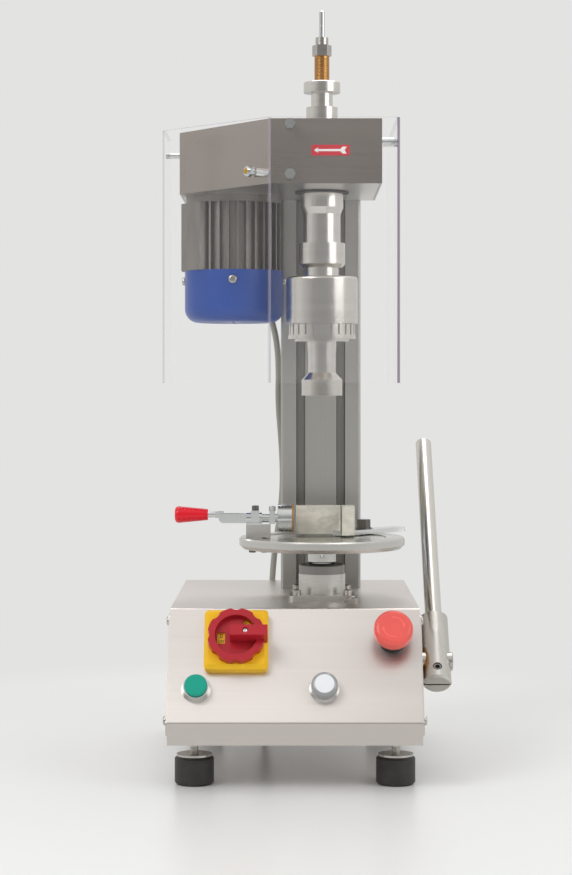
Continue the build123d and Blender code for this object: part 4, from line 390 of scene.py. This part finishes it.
def profile(name, shade):
    """Anodised profile with drawing lines up its length, and painted shade darkening its slots."""
    look = Finish(name, Metallic=0.8)
    lines = look.noise(look.place((1100, 1100, 1.2)))
    clouds = look.noise(look.place((1, 1, 0.3)), scale=14.0)
    x, y = look.parts(look.spot)[:2]
    low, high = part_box("column")
    inward = (x - low[0]).smaller(high[0] - x).smaller((y - low[1]).smaller(high[1] - y))
    # Painted shade: faces more than 4 mm inside the profile's outline, down in its slots, are darkened for
    # the shade that falls there.
    slot = inward.ramp(0.4 * MM, 4 * MM)
    face = look.blend(lines * 0.6 + clouds * 0.4, tint(shade, 0.88), tint(shade, 1.1))
    # Painted shade: the slots take the face colour at 0.8 of its brightness.
    look.set("Base Color", look.blend(slot, face, tint(shade, 0.8)))
    look.set("Roughness", 0.36 + (lines - 0.5) * 0.12)
    look.bump(lines, 0.04 * MM, 0.25)
    return look.material


def clear_sheet(name, shade, edge):
    """Clear sheet, nearly unseen on its faces, and dark along its bends and sawn edges."""
    look = Finish(name, Roughness=0.05, IOR=1.49)
    low, high, corner, fold = guard_bends()
    x, y = look.parts(look.spot)[:2]
    back, top = look.parts(look.node("ShaderNodeNewGeometry").outputs["Normal"])[1:]
    sawn = (abs(top) > 0.6).larger((back > 0.9) * (y > 0.0))
    right = (x > high[0] - 3.2 * MM) * (y < low[1] + 9 * MM)
    left = (x < low[0] + 2.6 * MM) * (y < corner[1] + 9 * MM)
    middle = (abs(x - fold[0]) < 1.6 * MM) * (y < low[1] + 5 * MM)
    scuffs = look.noise(look.spot, scale=16.0, detail=5.0)
    line = right.larger(left * 0.42).larger(middle * 0.36).larger(sawn * 0.4)
    look.set("Base Color", look.blend(line.ramp(0.0, 0.6), tint(shade, 1), tint(edge, 1)))
    look.set("Alpha", (0.015 + scuffs * 0.03).larger(line * 0.8))
    return look.material


def streaked(name, shade):
    """Pale machined plastic with soft grey streaks."""
    look = Finish(name, Coat_Weight=0.12, Coat_Roughness=0.3)
    flow = look.noise(look.place((1, 1, 2.2), (0.3, 0.1, 0.5)), scale=50.0, detail=5.0, roughness=0.65)
    veins = abs(look.noise(look.place((1, 1, 1.8), (0, 0.4, 0.9)), scale=26.0, detail=4.0) - 0.5)
    joint = abs(look.parts(look.spot)[0] - BLOCK_JOINT) < 0.5 * MM
    body = look.blend(flow.ramp(0.3, 0.72), tint(shade, 0.88), tint(shade, 1.12))
    streaks = look.blend(veins.ramp(0.0, 0.08), tint(shade, 0.84), body)
    look.set("Base Color", look.blend(joint, streaks, tint(shade, 0.12)))
    look.set("Roughness", 0.36 + flow * 0.14)
    look.bump(flow, 0.06 * MM, 0.3)
    return look.material


def part_plated(name, shade, other, mask_of, other_metallic=True, roughness=0.16):
    """Bright plating, and another metal or a soft face where the mask is 1."""
    look = Finish(name)
    clouds = look.noise(look.spot, scale=90.0)
    mask = mask_of(look)
    plain = look.blend(clouds, tint(shade, 0.86), tint(shade, 1.08))
    marked = look.blend(clouds, tint(other, 0.75), tint(other, 1.2))
    look.set("Base Color", look.blend(mask, plain, marked))
    look.set("Roughness", roughness + (clouds - 0.4) * 0.1)
    look.set("Metallic", 1.0 if other_metallic else 1.0 - mask)
    return look.material


def guard_bends():
    """Lowest and highest corners of the guard, its left front corner and the fold of its front."""
    low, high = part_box("guard")
    spots = [v.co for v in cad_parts["guard"].data.vertices]
    corner = min((s for s in spots if s.x < low[0] + 1 * MM), key=lambda s: s.y)
    fold = min((s for s in spots if s.y < low[1] + 0.5 * MM), key=lambda s: s.x)
    return low, high, corner, fold


def dress(material, *nodes):
    """Gives CAD nodes a finish."""
    for node in nodes:
        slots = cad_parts[node].data.materials
        slots.clear()
        slots.append(material)


# Making of pieces


def keep(piece, material, body):
    """Puts a finished piece on its body, with its material and the slot it is sold with."""
    piece.data.materials.clear()
    piece.data.materials.append(material)
    bpy.context.scene.collection.objects.link(piece)
    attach(piece, body)


def from_bmesh(name, shape, smooth=False):
    """Object of a bmesh, with its doubles merged and its faces turned outwards."""
    bmesh.ops.remove_doubles(shape, verts=shape.verts, dist=1e-7)
    bmesh.ops.recalc_face_normals(shape, faces=shape.faces)
    mesh = bpy.data.meshes.new(name)
    shape.to_mesh(mesh)
    shape.free()
    for face in mesh.polygons:
        face.use_smooth = smooth
    return bpy.data.objects.new(name, mesh)


def lathe(name, outline, place, turns=48):
    """Closed turned piece from points of (radius, height), first and last on the axis."""
    shape = bmesh.new()
    rings = []
    for radius, height in outline:
        angles = [math.tau * turn / turns for turn in range(turns if radius else 1)]
        spots = [Vector((radius * math.cos(a), radius * math.sin(a), height)) for a in angles]
        rings.append([shape.verts.new(place @ spot) for spot in spots])
    for low, high in zip(rings, rings[1:]):
        for turn in range(turns):
            after = (turn + 1) % turns
            below = [low[step % len(low)] for step in (turn, after)]
            above = [high[step % len(high)] for step in (after, turn)]
            shape.faces.new(list(dict.fromkeys(below + above)))
    return from_bmesh(name, shape, smooth=True)


def plate(name, outline, place, thickness):
    """Thin plate of a flat outline, standing on a plane."""
    shape = bmesh.new()
    face = shape.faces.new([shape.verts.new((x, y, 0)) for x, y in outline])
    lifted = bmesh.ops.extrude_face_region(shape, geom=[face])["geom"]
    top = [item for item in lifted if isinstance(item, bmesh.types.BMVert)]
    bmesh.ops.translate(shape, verts=top, vec=(0, 0, thickness))
    bmesh.ops.transform(shape, matrix=place, verts=shape.verts)
    return from_bmesh(name, shape)


def lettering(name, words, height, place, thickness=INK):
    """Raised numbers or words, made a mesh before they are put in place."""
    curve = bpy.data.curves.new(name, "FONT")
    curve.body = words
    curve.size = height
    curve.align_x = "CENTER"
    curve.align_y = "CENTER"
    curve.extrude = thickness / 2
    curve.resolution_u = 3
    holder = bpy.data.objects.new(name + "_words", curve)
    bpy.context.scene.collection.objects.link(holder)
    bpy.context.view_layer.update()
    mesh = bpy.data.meshes.new_from_object(holder.evaluated_get(bpy.context.evaluated_depsgraph_get()))
    bpy.data.objects.remove(holder)
    mesh.transform(place @ Matrix.Translation((0, 0, thickness / 2)))
    shape = bmesh.new()
    shape.from_mesh(mesh)
    return from_bmesh(name, shape)


def joined(name, pieces):
    """One object of several."""
    shape = bmesh.new()
    for piece in pieces:
        shape.from_mesh(piece.data)
        bpy.data.objects.remove(piece)
    return from_bmesh(name, shape)


def panel_place(across, up, out=0.0, turn=0.0):
    """A place on the sloped panel: millimetres across it, up it and out of it."""
    side = Vector((1, 0, 0))
    rise = Vector((0, math.sin(PANEL_LEAN), math.cos(PANEL_LEAN)))
    away = side.cross(rise)
    spot = PANEL_FOOT + (side * across + rise * up + away * out) * MM
    axes = Matrix((side, rise, away)).transposed().to_4x4()
    return Matrix.Translation(spot) @ axes @ Matrix.Rotation(math.radians(turn), 4, "Z")


def nodes_mesh(name, tree, points, values):
    """Plain mesh of a Geometry Nodes tree, run on an object that holds loose points."""
    mesh = bpy.data.meshes.new(name + "_points")
    mesh.from_pydata(points, [], [])
    holder = bpy.data.objects.new(name + "_points", mesh)
    bpy.context.scene.collection.objects.link(holder)
    modifier = holder.modifiers.new("Repeat", "NODES")
    modifier.node_group = tree
    names = {item.name: item.identifier for item in tree.interface.items_tree if item.in_out == "INPUT"}
    for key, value in values.items():
        modifier[names[key]] = value
    bpy.context.view_layer.update()
    result = bpy.data.meshes.new_from_object(holder.evaluated_get(bpy.context.evaluated_depsgraph_get()))
    bpy.data.objects.remove(holder)
    result.name = name
    shape = bmesh.new()
    shape.from_mesh(result)
    return from_bmesh(name, shape, smooth=True)


class Repeat:
    """A Geometry Nodes tree with named inputs that copies one small shape over each point of an object."""

    def __init__(self, name, *inputs):
        self.tree = bpy.data.node_groups.new(name, "GeometryNodeTree")
        face = self.tree.interface
        face.new_socket("Geometry", in_out="OUTPUT", socket_type="NodeSocketGeometry")
        face.new_socket("Geometry", in_out="INPUT", socket_type="NodeSocketGeometry")
        for label, kind, value in inputs:
            face.new_socket(label, in_out="INPUT", socket_type="NodeSocket" + kind).default_value = value
        face.new_socket("Material", in_out="INPUT", socket_type="NodeSocketMaterial")
        self.given = self.tree.nodes.new("NodeGroupInput").outputs

    def add(self, kind, **links):
        """First output of a new node, whose inputs are linked or written by name."""
        node = self.tree.nodes.new(kind)
        for key, value in links.items():
            socket = next(s for s in node.inputs if s.name == key.replace("_", " ") and s.enabled)
            feed(self.tree, socket, value)
        return node.outputs[0]

    def spread(self, points, shape):
        """Real copies of a shape on points."""
        copies = self.add("GeometryNodeInstanceOnPoints", Points=points, Instance=shape)
        return self.add("GeometryNodeRealizeInstances", Geometry=copies)

    def finish(self, shape):
        """Ends the tree with the whole shape on each point that was given."""
        real = self.spread(self.given["Geometry"], shape)
        painted = self.add("GeometryNodeSetMaterial", Geometry=real, Material=self.given["Material"])
        self.tree.links.new(painted, self.tree.nodes.new("NodeGroupOutput").inputs[0])
        return self.tree


def thread_tree():
    """Ridges of a thread, stacked up from each point."""
    thread = Repeat(
        "Thread ridges",
        ("Radius", "Float", 8 * MM),
        ("Ridge", "Float", 0.5 * MM),
        ("Pitch", "Float", 1.5 * MM),
        ("Turns", "Int", 10),
    )
    circle = thread.add("GeometryNodeCurvePrimitiveCircle", Resolution=36, Radius=thread.given["Radius"])
    ridge = thread.add("GeometryNodeCurvePrimitiveCircle", Resolution=6, Radius=thread.given["Ridge"])
    ring = thread.add("GeometryNodeCurveToMesh", Curve=circle, Profile_Curve=ridge)
    rise = thread.add("ShaderNodeCombineXYZ", Z=thread.given["Pitch"])
    line = thread.add("GeometryNodeMeshLine", Count=thread.given["Turns"], Offset=rise)
    return thread.finish(thread.spread(line, ring))


def flute_tree():
    """Upright ribs set in a ring round each point."""
    flutes = Repeat(
        "Lens flutes",
        ("Radius", "Float", 13.5 * MM),
        ("Rib", "Float", 0.4 * MM),
        ("Height", "Float", 5 * MM),
        ("Ribs", "Int", 40),
    )
    given = flutes.given
    circle = flutes.add("GeometryNodeMeshCircle", Radius=given["Radius"], Vertices=given["Ribs"])
    rib = flutes.add("GeometryNodeMeshCylinder", Vertices=8, Radius=given["Rib"], Depth=given["Height"])
    return flutes.finish(flutes.spread(circle, rib))


# Operators


class CAPPER_OT_camera(bpy.types.Operator):
    """Stands a level camera in front of the machine"""

    bl_idname = "capper.camera"
    bl_label = "Camera"

    def execute(self, context):
        studio = context.scene.capper_studio
        eye = bpy.data.cameras.new("front_view")
        eye.lens = studio.lens
        eye.sensor_width = 36
        eye.shift_x = studio.shift_x
        eye.shift_y = studio.shift_y
        eye.clip_end = 60
        holder = bpy.data.objects.new("front_view", eye)
        holder.location = (CONSOLE_X, -studio.distance, studio.eye_height)
        holder.rotation_euler = (math.pi / 2, 0, 0)
        context.scene.collection.objects.link(holder)
        context.scene.camera = holder
        context.scene.view_settings.view_transform = "Standard"
        return {"FINISHED"}


class CAPPER_OT_motor_lead(bpy.types.Operator):
    """Runs the motor's lead from its gland down behind the column to the console"""

    bl_idname = "capper.motor_lead"
    bl_label = "Motor lead"

    route = (
        (-32, 125, 537),
        (-32, 125, 512),
        (-28, 142, 484),
        (-22, 168, 462),
        (-19, 183, 430),
        (-20, 187, 385),
        (-16, 186, 340),
        (-14, 187, 295),
        (-17, 190, 255),
        (-23, 195, 220),
        (-27, 199, 180),
        (-28, 200, 135),
        (-31, 201, 95),
        (-33, 201, 58),
        (-34, 200, 32),
        (-35, 186, 11),
        (-35, 160, 6.5),
        (-35, 140, 9),
        (-35, 132, 19),
        (-35, 132, 31),
    )

    def execute(self, context):
        sizes = context.scene.capper_sizes
        curve = bpy.data.curves.new("motor_lead", "CURVE")
        curve.dimensions = "3D"
        curve.bevel_depth = sizes.lead_diameter / 2
        curve.bevel_resolution = 5
        curve.resolution_u = 10
        line = curve.splines.new("NURBS")
        line.points.add(len(self.route) - 1)
        for point, (x, y, z) in zip(line.points, self.route):
            point.co = (CONSOLE_X + x * MM, y * MM, z * MM, 1)
        line.order_u = 3
        line.use_endpoint_u = True
        lead = bpy.data.objects.new("motor_lead", curve)
        shade = context.scene.capper_colours.cable_grey
        keep(lead, coated("Lead sheath", shade, grain=900, roughness=0.5, coat=0.05), "frame")
        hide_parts("motor_cable")
        return {"FINISHED"}


class CAPPER_OT_studio(bpy.types.Operator):
    """Lays the floor, lights the room and hangs three soft lamps"""

    bl_idname = "capper.studio"
    bl_label = "Studio"

    def execute(self, context):
        studio = context.scene.capper_studio
        self.room(context.scene, studio)
        self.lay_floor(studio)
        for name, strength, size, spot in (
            ("key_lamp", studio.key, 1.3, (-1.5, -1.5, 1.9)),
            ("fill_lamp", studio.fill, 1.5, (1.8, -1.3, 1.3)),
            ("top_lamp", studio.top, 1.6, (0.1, 0.5, 2.3)),
        ):
            lamp = bpy.data.lights.new(name, "AREA")
            lamp.energy = strength
            lamp.size = size
            holder = bpy.data.objects.new(name, lamp)
            holder.location = spot
            aim = Vector((0, 0, 0.4)) - holder.location
            holder.rotation_euler = aim.to_track_quat("-Z", "Y").to_euler()
            context.scene.collection.objects.link(holder)
        return {"FINISHED"}

    def room(self, scene, studio):
        """Pale walls for the camera, and a dimmer side in front for metal to mirror."""
        world = bpy.data.worlds.new("Room")
        world.use_nodes = True
        scene.world = world
        walls = Shader(world.node_tree)
        background = world.node_tree.nodes["Background"]
        rays = walls.node("ShaderNodeLightPath")
        seen = walls.level(rays, "Is Camera Ray").larger(walls.level(rays, "Is Transmission Ray"))
        y, z = walls.parts(walls.node("ShaderNodeTexCoord").outputs["Generated"])[1:]
        ahead = (0 - y).ramp(0.25, 0.95) * (1 - abs(z).ramp(0.25, 0.8))
        mirrored = 0.95 + z.larger(0.0) * 0.25 - ahead * 0.56
        level = walls.level(rays, "Is Glossy Ray") * (mirrored - 0.66) + 0.66
        background.inputs["Color"].default_value = tuple(studio.wall) + (1.0,)
        feed(world.node_tree, background.inputs["Strength"], seen.larger(level))

    def lay_floor(self, studio):
        shape = bmesh.new()
        bmesh.ops.create_circle(shape, cap_ends=True, radius=6, segments=96)
        floor = from_bmesh("floor", shape)
        look = Finish("Pale floor", Roughness=0.3)
        look.surface.inputs["Specular IOR Level"].default_value = 0.35
        speckle = look.noise(look.spot, scale=60.0)
        look.set("Base Color", look.blend(speckle, tint(studio.floor, 0.985), tint(studio.floor, 1.01)))
        far = look.radius((0, 0)).ramp(studio.floor_edge, studio.floor_edge * 1.25)
        wall = look.node("ShaderNodeEmission", Color=tuple(studio.wall) + (1.0,), Strength=1.0)
        mix = look.node("ShaderNodeMixShader")
        feed(look.tree, mix.inputs[0], far)
        look.tree.links.new(look.surface.outputs[0], mix.inputs[1])
        look.tree.links.new(wall.outputs[0], mix.inputs[2])
        look.tree.links.new(mix.outputs[0], look.tree.nodes["Material Output"].inputs["Surface"])
        floor.data.materials.append(look.material)
        bpy.context.scene.collection.objects.link(floor)


class CAPPER_OT_sheet_metal(bpy.types.Operator):
    """Finishes the console, the head and the flat steel"""

    bl_idname = "capper.sheet_metal"
    bl_label = "Sheet metal"

    def execute(self, context):
        tone = context.scene.capper_colours
        across = (3, 500, 900)
        sheet = brushed("Console sheet", tone.console_sheet, across, 0.34)
        dress(sheet, "base_shell", "base_floor", "side_covers")
        dress(brushed("Head sheet", tone.head_sheet, across, 0.3, spread=0.12), "head_cover")
        dress(brushed("Milled plate", tone.alloy, (30, 500, 500), 0.35), "head_bracket", "clamp_block")
        dress(brushed("Frame steel", tone.plain_steel, (200, 200, 200), 0.42), "inner_frame")
        dress(brushed("Bar steel", tone.chrome, (120, 120, 900), 0.25), "fixture_bar")
        fine = (1500, 1500, 1500)
        dress(brushed("Lever steel", tone.turned_steel, fine, 0.22, spread=0.05, anisotropy=0.0), "lever_rod")
        milled = tint(tone.turned_steel, 0.85)
        dress(brushed("Hub steel", milled, (1300, 1300, 1300), 0.28, spread=0.06), "lever_hub")
        return {"FINISHED"}


class CAPPER_OT_turned_steel(bpy.types.Operator):
    """Finishes the pieces that were turned on a lathe"""

    bl_idname = "capper.turned_steel"
    bl_label = "Turned steel"

    def execute(self, context):
        tone = context.scene.capper_colours
        dress(
            turned("Turned steel", tone.turned_steel),
            "drive_sleeve",
            "clutch_collar",
            "clutch_housing",
            "clutch_ring",
            "chuck",
            "spindle_shaft",
            "top_collar",
            "bearing_housing",
            "ball_bearings",
        )
        dress(turned("Turned alloy", tone.alloy, roughness=0.26, scale=700), "bottle_table", "table_collar")
        dress(turned("Guide alloy", tone.alloy, roughness=0.32, scale=600), "lift_guide")
        dress(turned("Dark cap", tint(tone.alloy, 0.45), roughness=0.36), "guide_cap")
        dress(turned("Bronze", tone.bronze, roughness=0.24), "threaded_sleeve", "bronze_bushes")
        dress(turned("Ground rod", tint(tone.chrome, 0.92), roughness=0.12), "stop_rod", "lift_shaft")
        dress(turned("Motor steel", tone.plain_steel, MOTOR), "motor_rotor")
        shaft = plated("Lever shaft steel", tone.plain_steel, 0.22)
        dress(shaft, "lever_shaft", "lever_pinion", "foot_studs")
        return {"FINISHED"}


class CAPPER_OT_fittings(bpy.types.Operator):
    """Finishes screws, nuts, the clamp and the guard's bolts"""

    bl_idname = "capper.fittings"
    bl_label = "Screws and fittings"

    def execute(self, context):
        tone = context.scene.capper_colours
        dress(plated("Screw steel", tone.plain_steel, 0.2), "frame_screws", "sleeve_nuts")
        dress(plated("Dark screws", tint(tone.plain_steel, 0.35), 0.3), "hub_screws", "table_screws")
        chrome = plated("Chrome", tone.chrome, 0.12)
        dress(chrome, "clamp_body", "clamp_handle", "clamp_link", "button_bezels")
        dress(part_plated("Guard bolts", tone.chrome, tone.brass, self.brass_core), "guard_fixings")
        dress(part_plated("Clamp plunger", tone.chrome, tone.pad_tan, self.pad_face, False), "clamp_plunger")
        return {"FINISHED"}

    def brass_core(self, look):
        """The core of the bolt between the guard's left side and its fold."""
        low, high, corner, fold = guard_bends()
        start = low[0] + 20 * MM
        along = Vector((fold.x - corner.x, fold.y - corner.y, 0)).normalized()
        spots = [v.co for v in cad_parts["guard_fixings"].data.vertices]
        bolt = [s for s in spots if start < s.x < fold.x - 1 * MM and s.y < -60 * MM]
        centre = sum(bolt, Vector()) / len(bolt)
        x, y, z = look.parts(look.spot)
        aside = (x - centre.x) * along.x + (y - centre.y) * along.y
        return ((aside**2 + (z - centre.z) ** 2) ** 0.5 < BRASS_RADIUS) * (x < fold.x) * (x > start)

    def pad_face(self, look):
        """The soft face at the pad's free end."""
        return look.parts(look.spot)[0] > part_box("clamp_plunger")[1][0] - PAD_FACE


class CAPPER_OT_castings(bpy.types.Operator):
    """Finishes the motor, its cover and the column"""

    bl_idname = "capper.castings"
    bl_label = "Motor and column"

    def execute(self, context):
        tone = context.scene.capper_colours
        dress(cast("Motor casting", tone.casting), "motor_housing")
        dress(coated("Blue paint", tone.blue_paint, roughness=0.34, coat=0.12), "fan_cover")
        dress(profile("Anodised profile", tone.column), "column")
        return {"FINISHED"}


class CAPPER_OT_plastics(bpy.types.Operator):
    """Finishes the plastic and rubber pieces"""

    bl_idname = "capper.plastics"
    bl_label = "Plastic and rubber"

    def execute(self, context):
        tone = context.scene.capper_colours
        black = coated("Black plastic", tone.black_plastic, grain=700, roughness=0.42, coat=0.05)
        dress(black, "cable_glands", "column_cap", "switch_bodies", "terminal_box")
        dress(rubber("Rubber", tone.rubber), "feet", "shaft_seals", "drive_belt")
        dress(coated("Switch yellow", tone.switch_yellow, 900, 0.02, 0.34), "switch_plate")
        dress(coated("Handle red", tone.handle_red, 900, 0.02, 0.36), "switch_handle")
        dress(coated("Grip red", tone.grip_red, 500, 0.03, 0.22, 0.5), "clamp_grip")
        dress(coated("Stop red", tone.stop_red, 900, 0.02, 0.32, 0.3), "estop_button")
        dress(coated("Start green", tone.start_green, 900, 0.02, 0.28, 0.3), "start_button")
        dress(self.lens(tone.lamp_white), "lamp_lens")
        dress(streaked("Stone plastic", tone.block_stone), "v_block")
        dress(clear_sheet("Clear guard", tone.guard_clear, tone.guard_edge), "guard")
        return {"FINISHED"}

    def lens(self, shade):
        """White face inside a clear grey collar."""
        look = Finish("Lamp lens", Coat_Weight=0.5, Coat_Roughness=0.1, Roughness=0.2)
        x, y, z = look.parts(look.spot)
        across = x - (PANEL_FOOT.x + LAMP[0] * MM)
        up = (y - PANEL_FOOT.y) * math.sin(PANEL_LEAN) + (z - PANEL_FOOT.z) * math.cos(PANEL_LEAN)
        ring = ((across**2 + (up - LAMP[1] * MM) ** 2) ** 0.5).ramp(9.6 * MM, 10.2 * MM)
        clouds = look.noise(look.spot, scale=90.0)
        face = look.blend(clouds, tint(shade, 0.94), tint(shade, 1.04))
        look.set("Base Color", look.blend(ring, face, tint(shade, 0.36)))
        look.bump(clouds, 0.02 * MM, 0.3)
        return look.material


class CAPPER_OT_direction_label(bpy.types.Operator):
    """Sticks the red label with its white arrow on the head"""

    bl_idname = "capper.direction_label"
    bl_label = "Direction label"

    def execute(self, context):
        sizes, tone = context.scene.capper_sizes, context.scene.capper_colours
        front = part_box("head_cover")[0][1]
        spot = Vector((CONSOLE_X + LABEL_ACROSS * MM, front, LABEL_UP * MM))
        place = Matrix.Translation(spot) @ Matrix.Rotation(math.pi / 2, 4, "X")
        wide, high = sizes.label_width / 2, sizes.label_height / 2
        corners = [(-wide, -high), (wide, -high), (wide, high), (-wide, high)]
        backing = plate("direction_label", corners, place, 0.2 * MM)
        keep(backing, coated("Label red", tone.label_red, 900, 0.01, 0.35), "frame")
        half = [(-17, 0), (-12.6, 3.2), (-13.4, 1.1), (10.2, 1.1), (12.4, 3.6), (16.6, 3.6), (14.6, 0)]
        outline = half + [(x, -y) for x, y in half[-2:0:-1]]
        arrow = plate("direction_arrow", [(x * MM, y * MM) for x, y in outline], place, 0.32 * MM)
        white = coated("Label white", tone.label_white, 900, 0.01, 0.4, spread=0.03)
        keep(arrow, white, "frame")
        return {"FINISHED"}


class CAPPER_OT_switch_marks(bpy.types.Operator):
    """Prints 0 OFF and I ON on the switch plate, and screws the handle on"""

    bl_idname = "capper.switch_marks"
    bl_label = "Switch marks"

    def execute(self, context):
        sizes, tone = context.scene.capper_sizes, context.scene.capper_colours
        across, up = SWITCH
        marks = []
        for name, words, size, x, y, turn in (
            ("off_number", "0", 1.0, -15.2, 1.6, 0),
            ("off_word", "OFF", 0.62, -15.2, -4.2, 0),
            ("on_number", "I", 0.8, 9.6, 15.9, -40),
            ("on_word", "ON", 0.55, 13.2, 12.9, -40),
        ):
            place = panel_place(across + x, up + y, SWITCH_FACE, turn)
            marks.append(lettering(name, words, size * sizes.mark_height, place))
        ink = coated("Black marks", tone.black_plastic, 900, 0.01, 0.5, 0.0)
        keep(joined("switch_marks", marks), ink, "frame")
        place = panel_place(across + HANDLE_SCREW_ACROSS, up, HANDLE_TOP - HANDLE_SCREW_DEPTH)
        outline = [(0, 0), (2.4, 0), (2.4, 1.2), (2.1, 1.5), (0.9, 1.5), (0.8, 0.6), (0, 0.6)]
        screw = lathe("handle_screw", [(r * MM, h * MM) for r, h in outline], place)
        keep(screw, plated("Handle screw", tone.chrome, 0.2), "main_switch")
        return {"FINISHED"}


class CAPPER_OT_stop_arrows(bpy.types.Operator):
    """Moulds two turn arrows on the stop button's crown"""

    bl_idname = "capper.stop_arrows"
    bl_label = "Stop button arrows"

    def execute(self, context):
        tone = context.scene.capper_colours
        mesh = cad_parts["estop_button"].data
        crown = BVHTree.FromPolygons([v.co for v in mesh.vertices], [p.vertices for p in mesh.polygons])
        place = panel_place(*STOP_BUTTON)
        down = -(place.to_3x3() @ Vector((0, 0, 1)))
        shape = bmesh.new()
        for start in (100, 280):
            rows = []
            for step in range(25):
                share = step / 24
                angle = math.radians(start - 105 * share)
                tip = (share - 0.78) / 0.22
                half = 0.65 if tip < 0 else 1.9 * (1 - tip)
                row = []
                for radius in (STOP_ARROW_RADIUS - half, STOP_ARROW_RADIUS + half):
                    above = place @ (Vector((radius * math.cos(angle), radius * math.sin(angle), 60)) * MM)
                    hit = crown.ray_cast(above, down)[0]
                    row += [shape.verts.new(hit + down * depth * MM) for depth in (0.1, -0.15)]
                rows.append(row)
            for near, far in zip(rows, rows[1:]):
                for a, b in ((0, 1), (1, 3), (3, 2), (2, 0)):
                    shape.faces.new((near[a], near[b], far[b], far[a]))
            for row in (rows[0], rows[-1]):
                shape.faces.new((row[0], row[1], row[3], row[2]))
        arrows = from_bmesh("stop_arrows", shape)
        pink = coated("Arrow pink", tint(tone.stop_red, 1.35), 900, 0.01, 0.4)
        keep(arrows, pink, "stop_key")
        return {"FINISHED"}


class CAPPER_OT_threads(bpy.types.Operator):
    """Cuts the ridges of the threads on the sleeve and the feet's studs"""

    bl_idname = "capper.threads"
    bl_label = "Threads"

    def execute(self, context):
        sizes, tone = context.scene.capper_sizes, context.scene.capper_colours
        tree = thread_tree()
        sleeve_steel = turned("Thread bronze", tone.bronze, roughness=0.2, spread=0.25)
        low, high = SLEEVE_THREAD
        values = {
            "Radius": 7.75 * MM,
            "Ridge": 0.5 * MM,
            "Pitch": sizes.thread_pitch,
            "Turns": int((high - low) * MM / sizes.thread_pitch),
            "Material": sleeve_steel,
        }
        ridges = nodes_mesh("sleeve_thread", tree, [(SPINDLE[0], SPINDLE[1], low * MM)], values)
        keep(ridges, sleeve_steel, "spindle")
        stud_steel = plated("Stud zinc", tone.plain_steel, 0.3)
        low, high = STUD_THREAD
        rows = ((x, y) for x in (-FOOT_ACROSS, FOOT_ACROSS) for y in (-FOOT_ALONG, FOOT_ALONG))
        feet = [(CONSOLE_X + x * MM, y * MM, low * MM) for x, y in rows]
        values = {
            "Radius": 3.85 * MM,
            "Ridge": 0.4 * MM,
            "Pitch": sizes.stud_pitch,
            "Turns": int((high - low) * MM / sizes.stud_pitch),
            "Material": stud_steel,
        }
        keep(nodes_mesh("stud_threads", tree, feet, values), stud_steel, "frame")
        return {"FINISHED"}


class CAPPER_OT_lens_flutes(bpy.types.Operator):
    """Ribs the skirt of the lamp's lens"""

    bl_idname = "capper.lens_flutes"
    bl_label = "Lens flutes"

    def execute(self, context):
        sizes, tone = context.scene.capper_sizes, context.scene.capper_colours
        skirt = coated("Lens skirt", tint(tone.lamp_white, 0.5), 900, 0.02, 0.2, 0.5)
        values = {
            "Radius": 13.3 * MM,
            "Rib": 0.5 * MM,
            "Height": 5.0 * MM,
            "Ribs": sizes.lens_flutes,
            "Material": skirt,
        }
        ribs = nodes_mesh("lens_flutes", flute_tree(), [(0, 0, 0)], values)
        ribs.data.transform(panel_place(*LAMP, LENS_MIDDLE))
        keep(ribs, skirt, "frame")
        return {"FINISHED"}


class CAPPER_PT_machine(bpy.types.Panel):
    """Lists the steps of the machine"""

    bl_label = "Lever capper"
    bl_idname = "CAPPER_PT_machine"
    bl_space_type = "VIEW_3D"
    bl_region_type = "UI"
    bl_category = "Capper"

    def draw(self, context):
        for step in OPERATORS:
            self.layout.operator(step.bl_idname)


GROUPS = {
    "capper_colours": CapperColours,
    "capper_sizes": CapperSizes,
    "capper_studio": CapperStudio,
}
OPERATORS = (
    CAPPER_OT_camera,
    CAPPER_OT_motor_lead,
    CAPPER_OT_studio,
    CAPPER_OT_sheet_metal,
    CAPPER_OT_turned_steel,
    CAPPER_OT_fittings,
    CAPPER_OT_castings,
    CAPPER_OT_plastics,
    CAPPER_OT_direction_label,
    CAPPER_OT_switch_marks,
    CAPPER_OT_stop_arrows,
    CAPPER_OT_threads,
    CAPPER_OT_lens_flutes,
)


def register():
    for kind in (*GROUPS.values(), *OPERATORS, CAPPER_PT_machine):
        bpy.utils.register_class(kind)
    for name, kind in GROUPS.items():
        setattr(bpy.types.Scene, name, PointerProperty(type=kind))


def unregister():
    for name in GROUPS:
        delattr(bpy.types.Scene, name)
    for kind in (CAPPER_PT_machine, *reversed(OPERATORS), *reversed(GROUPS.values())):
        bpy.utils.unregister_class(kind)


def main():
    register()
    for step in OPERATORS:
        getattr(bpy.ops.capper, step.bl_idname.split(".")[1])()


if __name__ == "__main__":
    main()
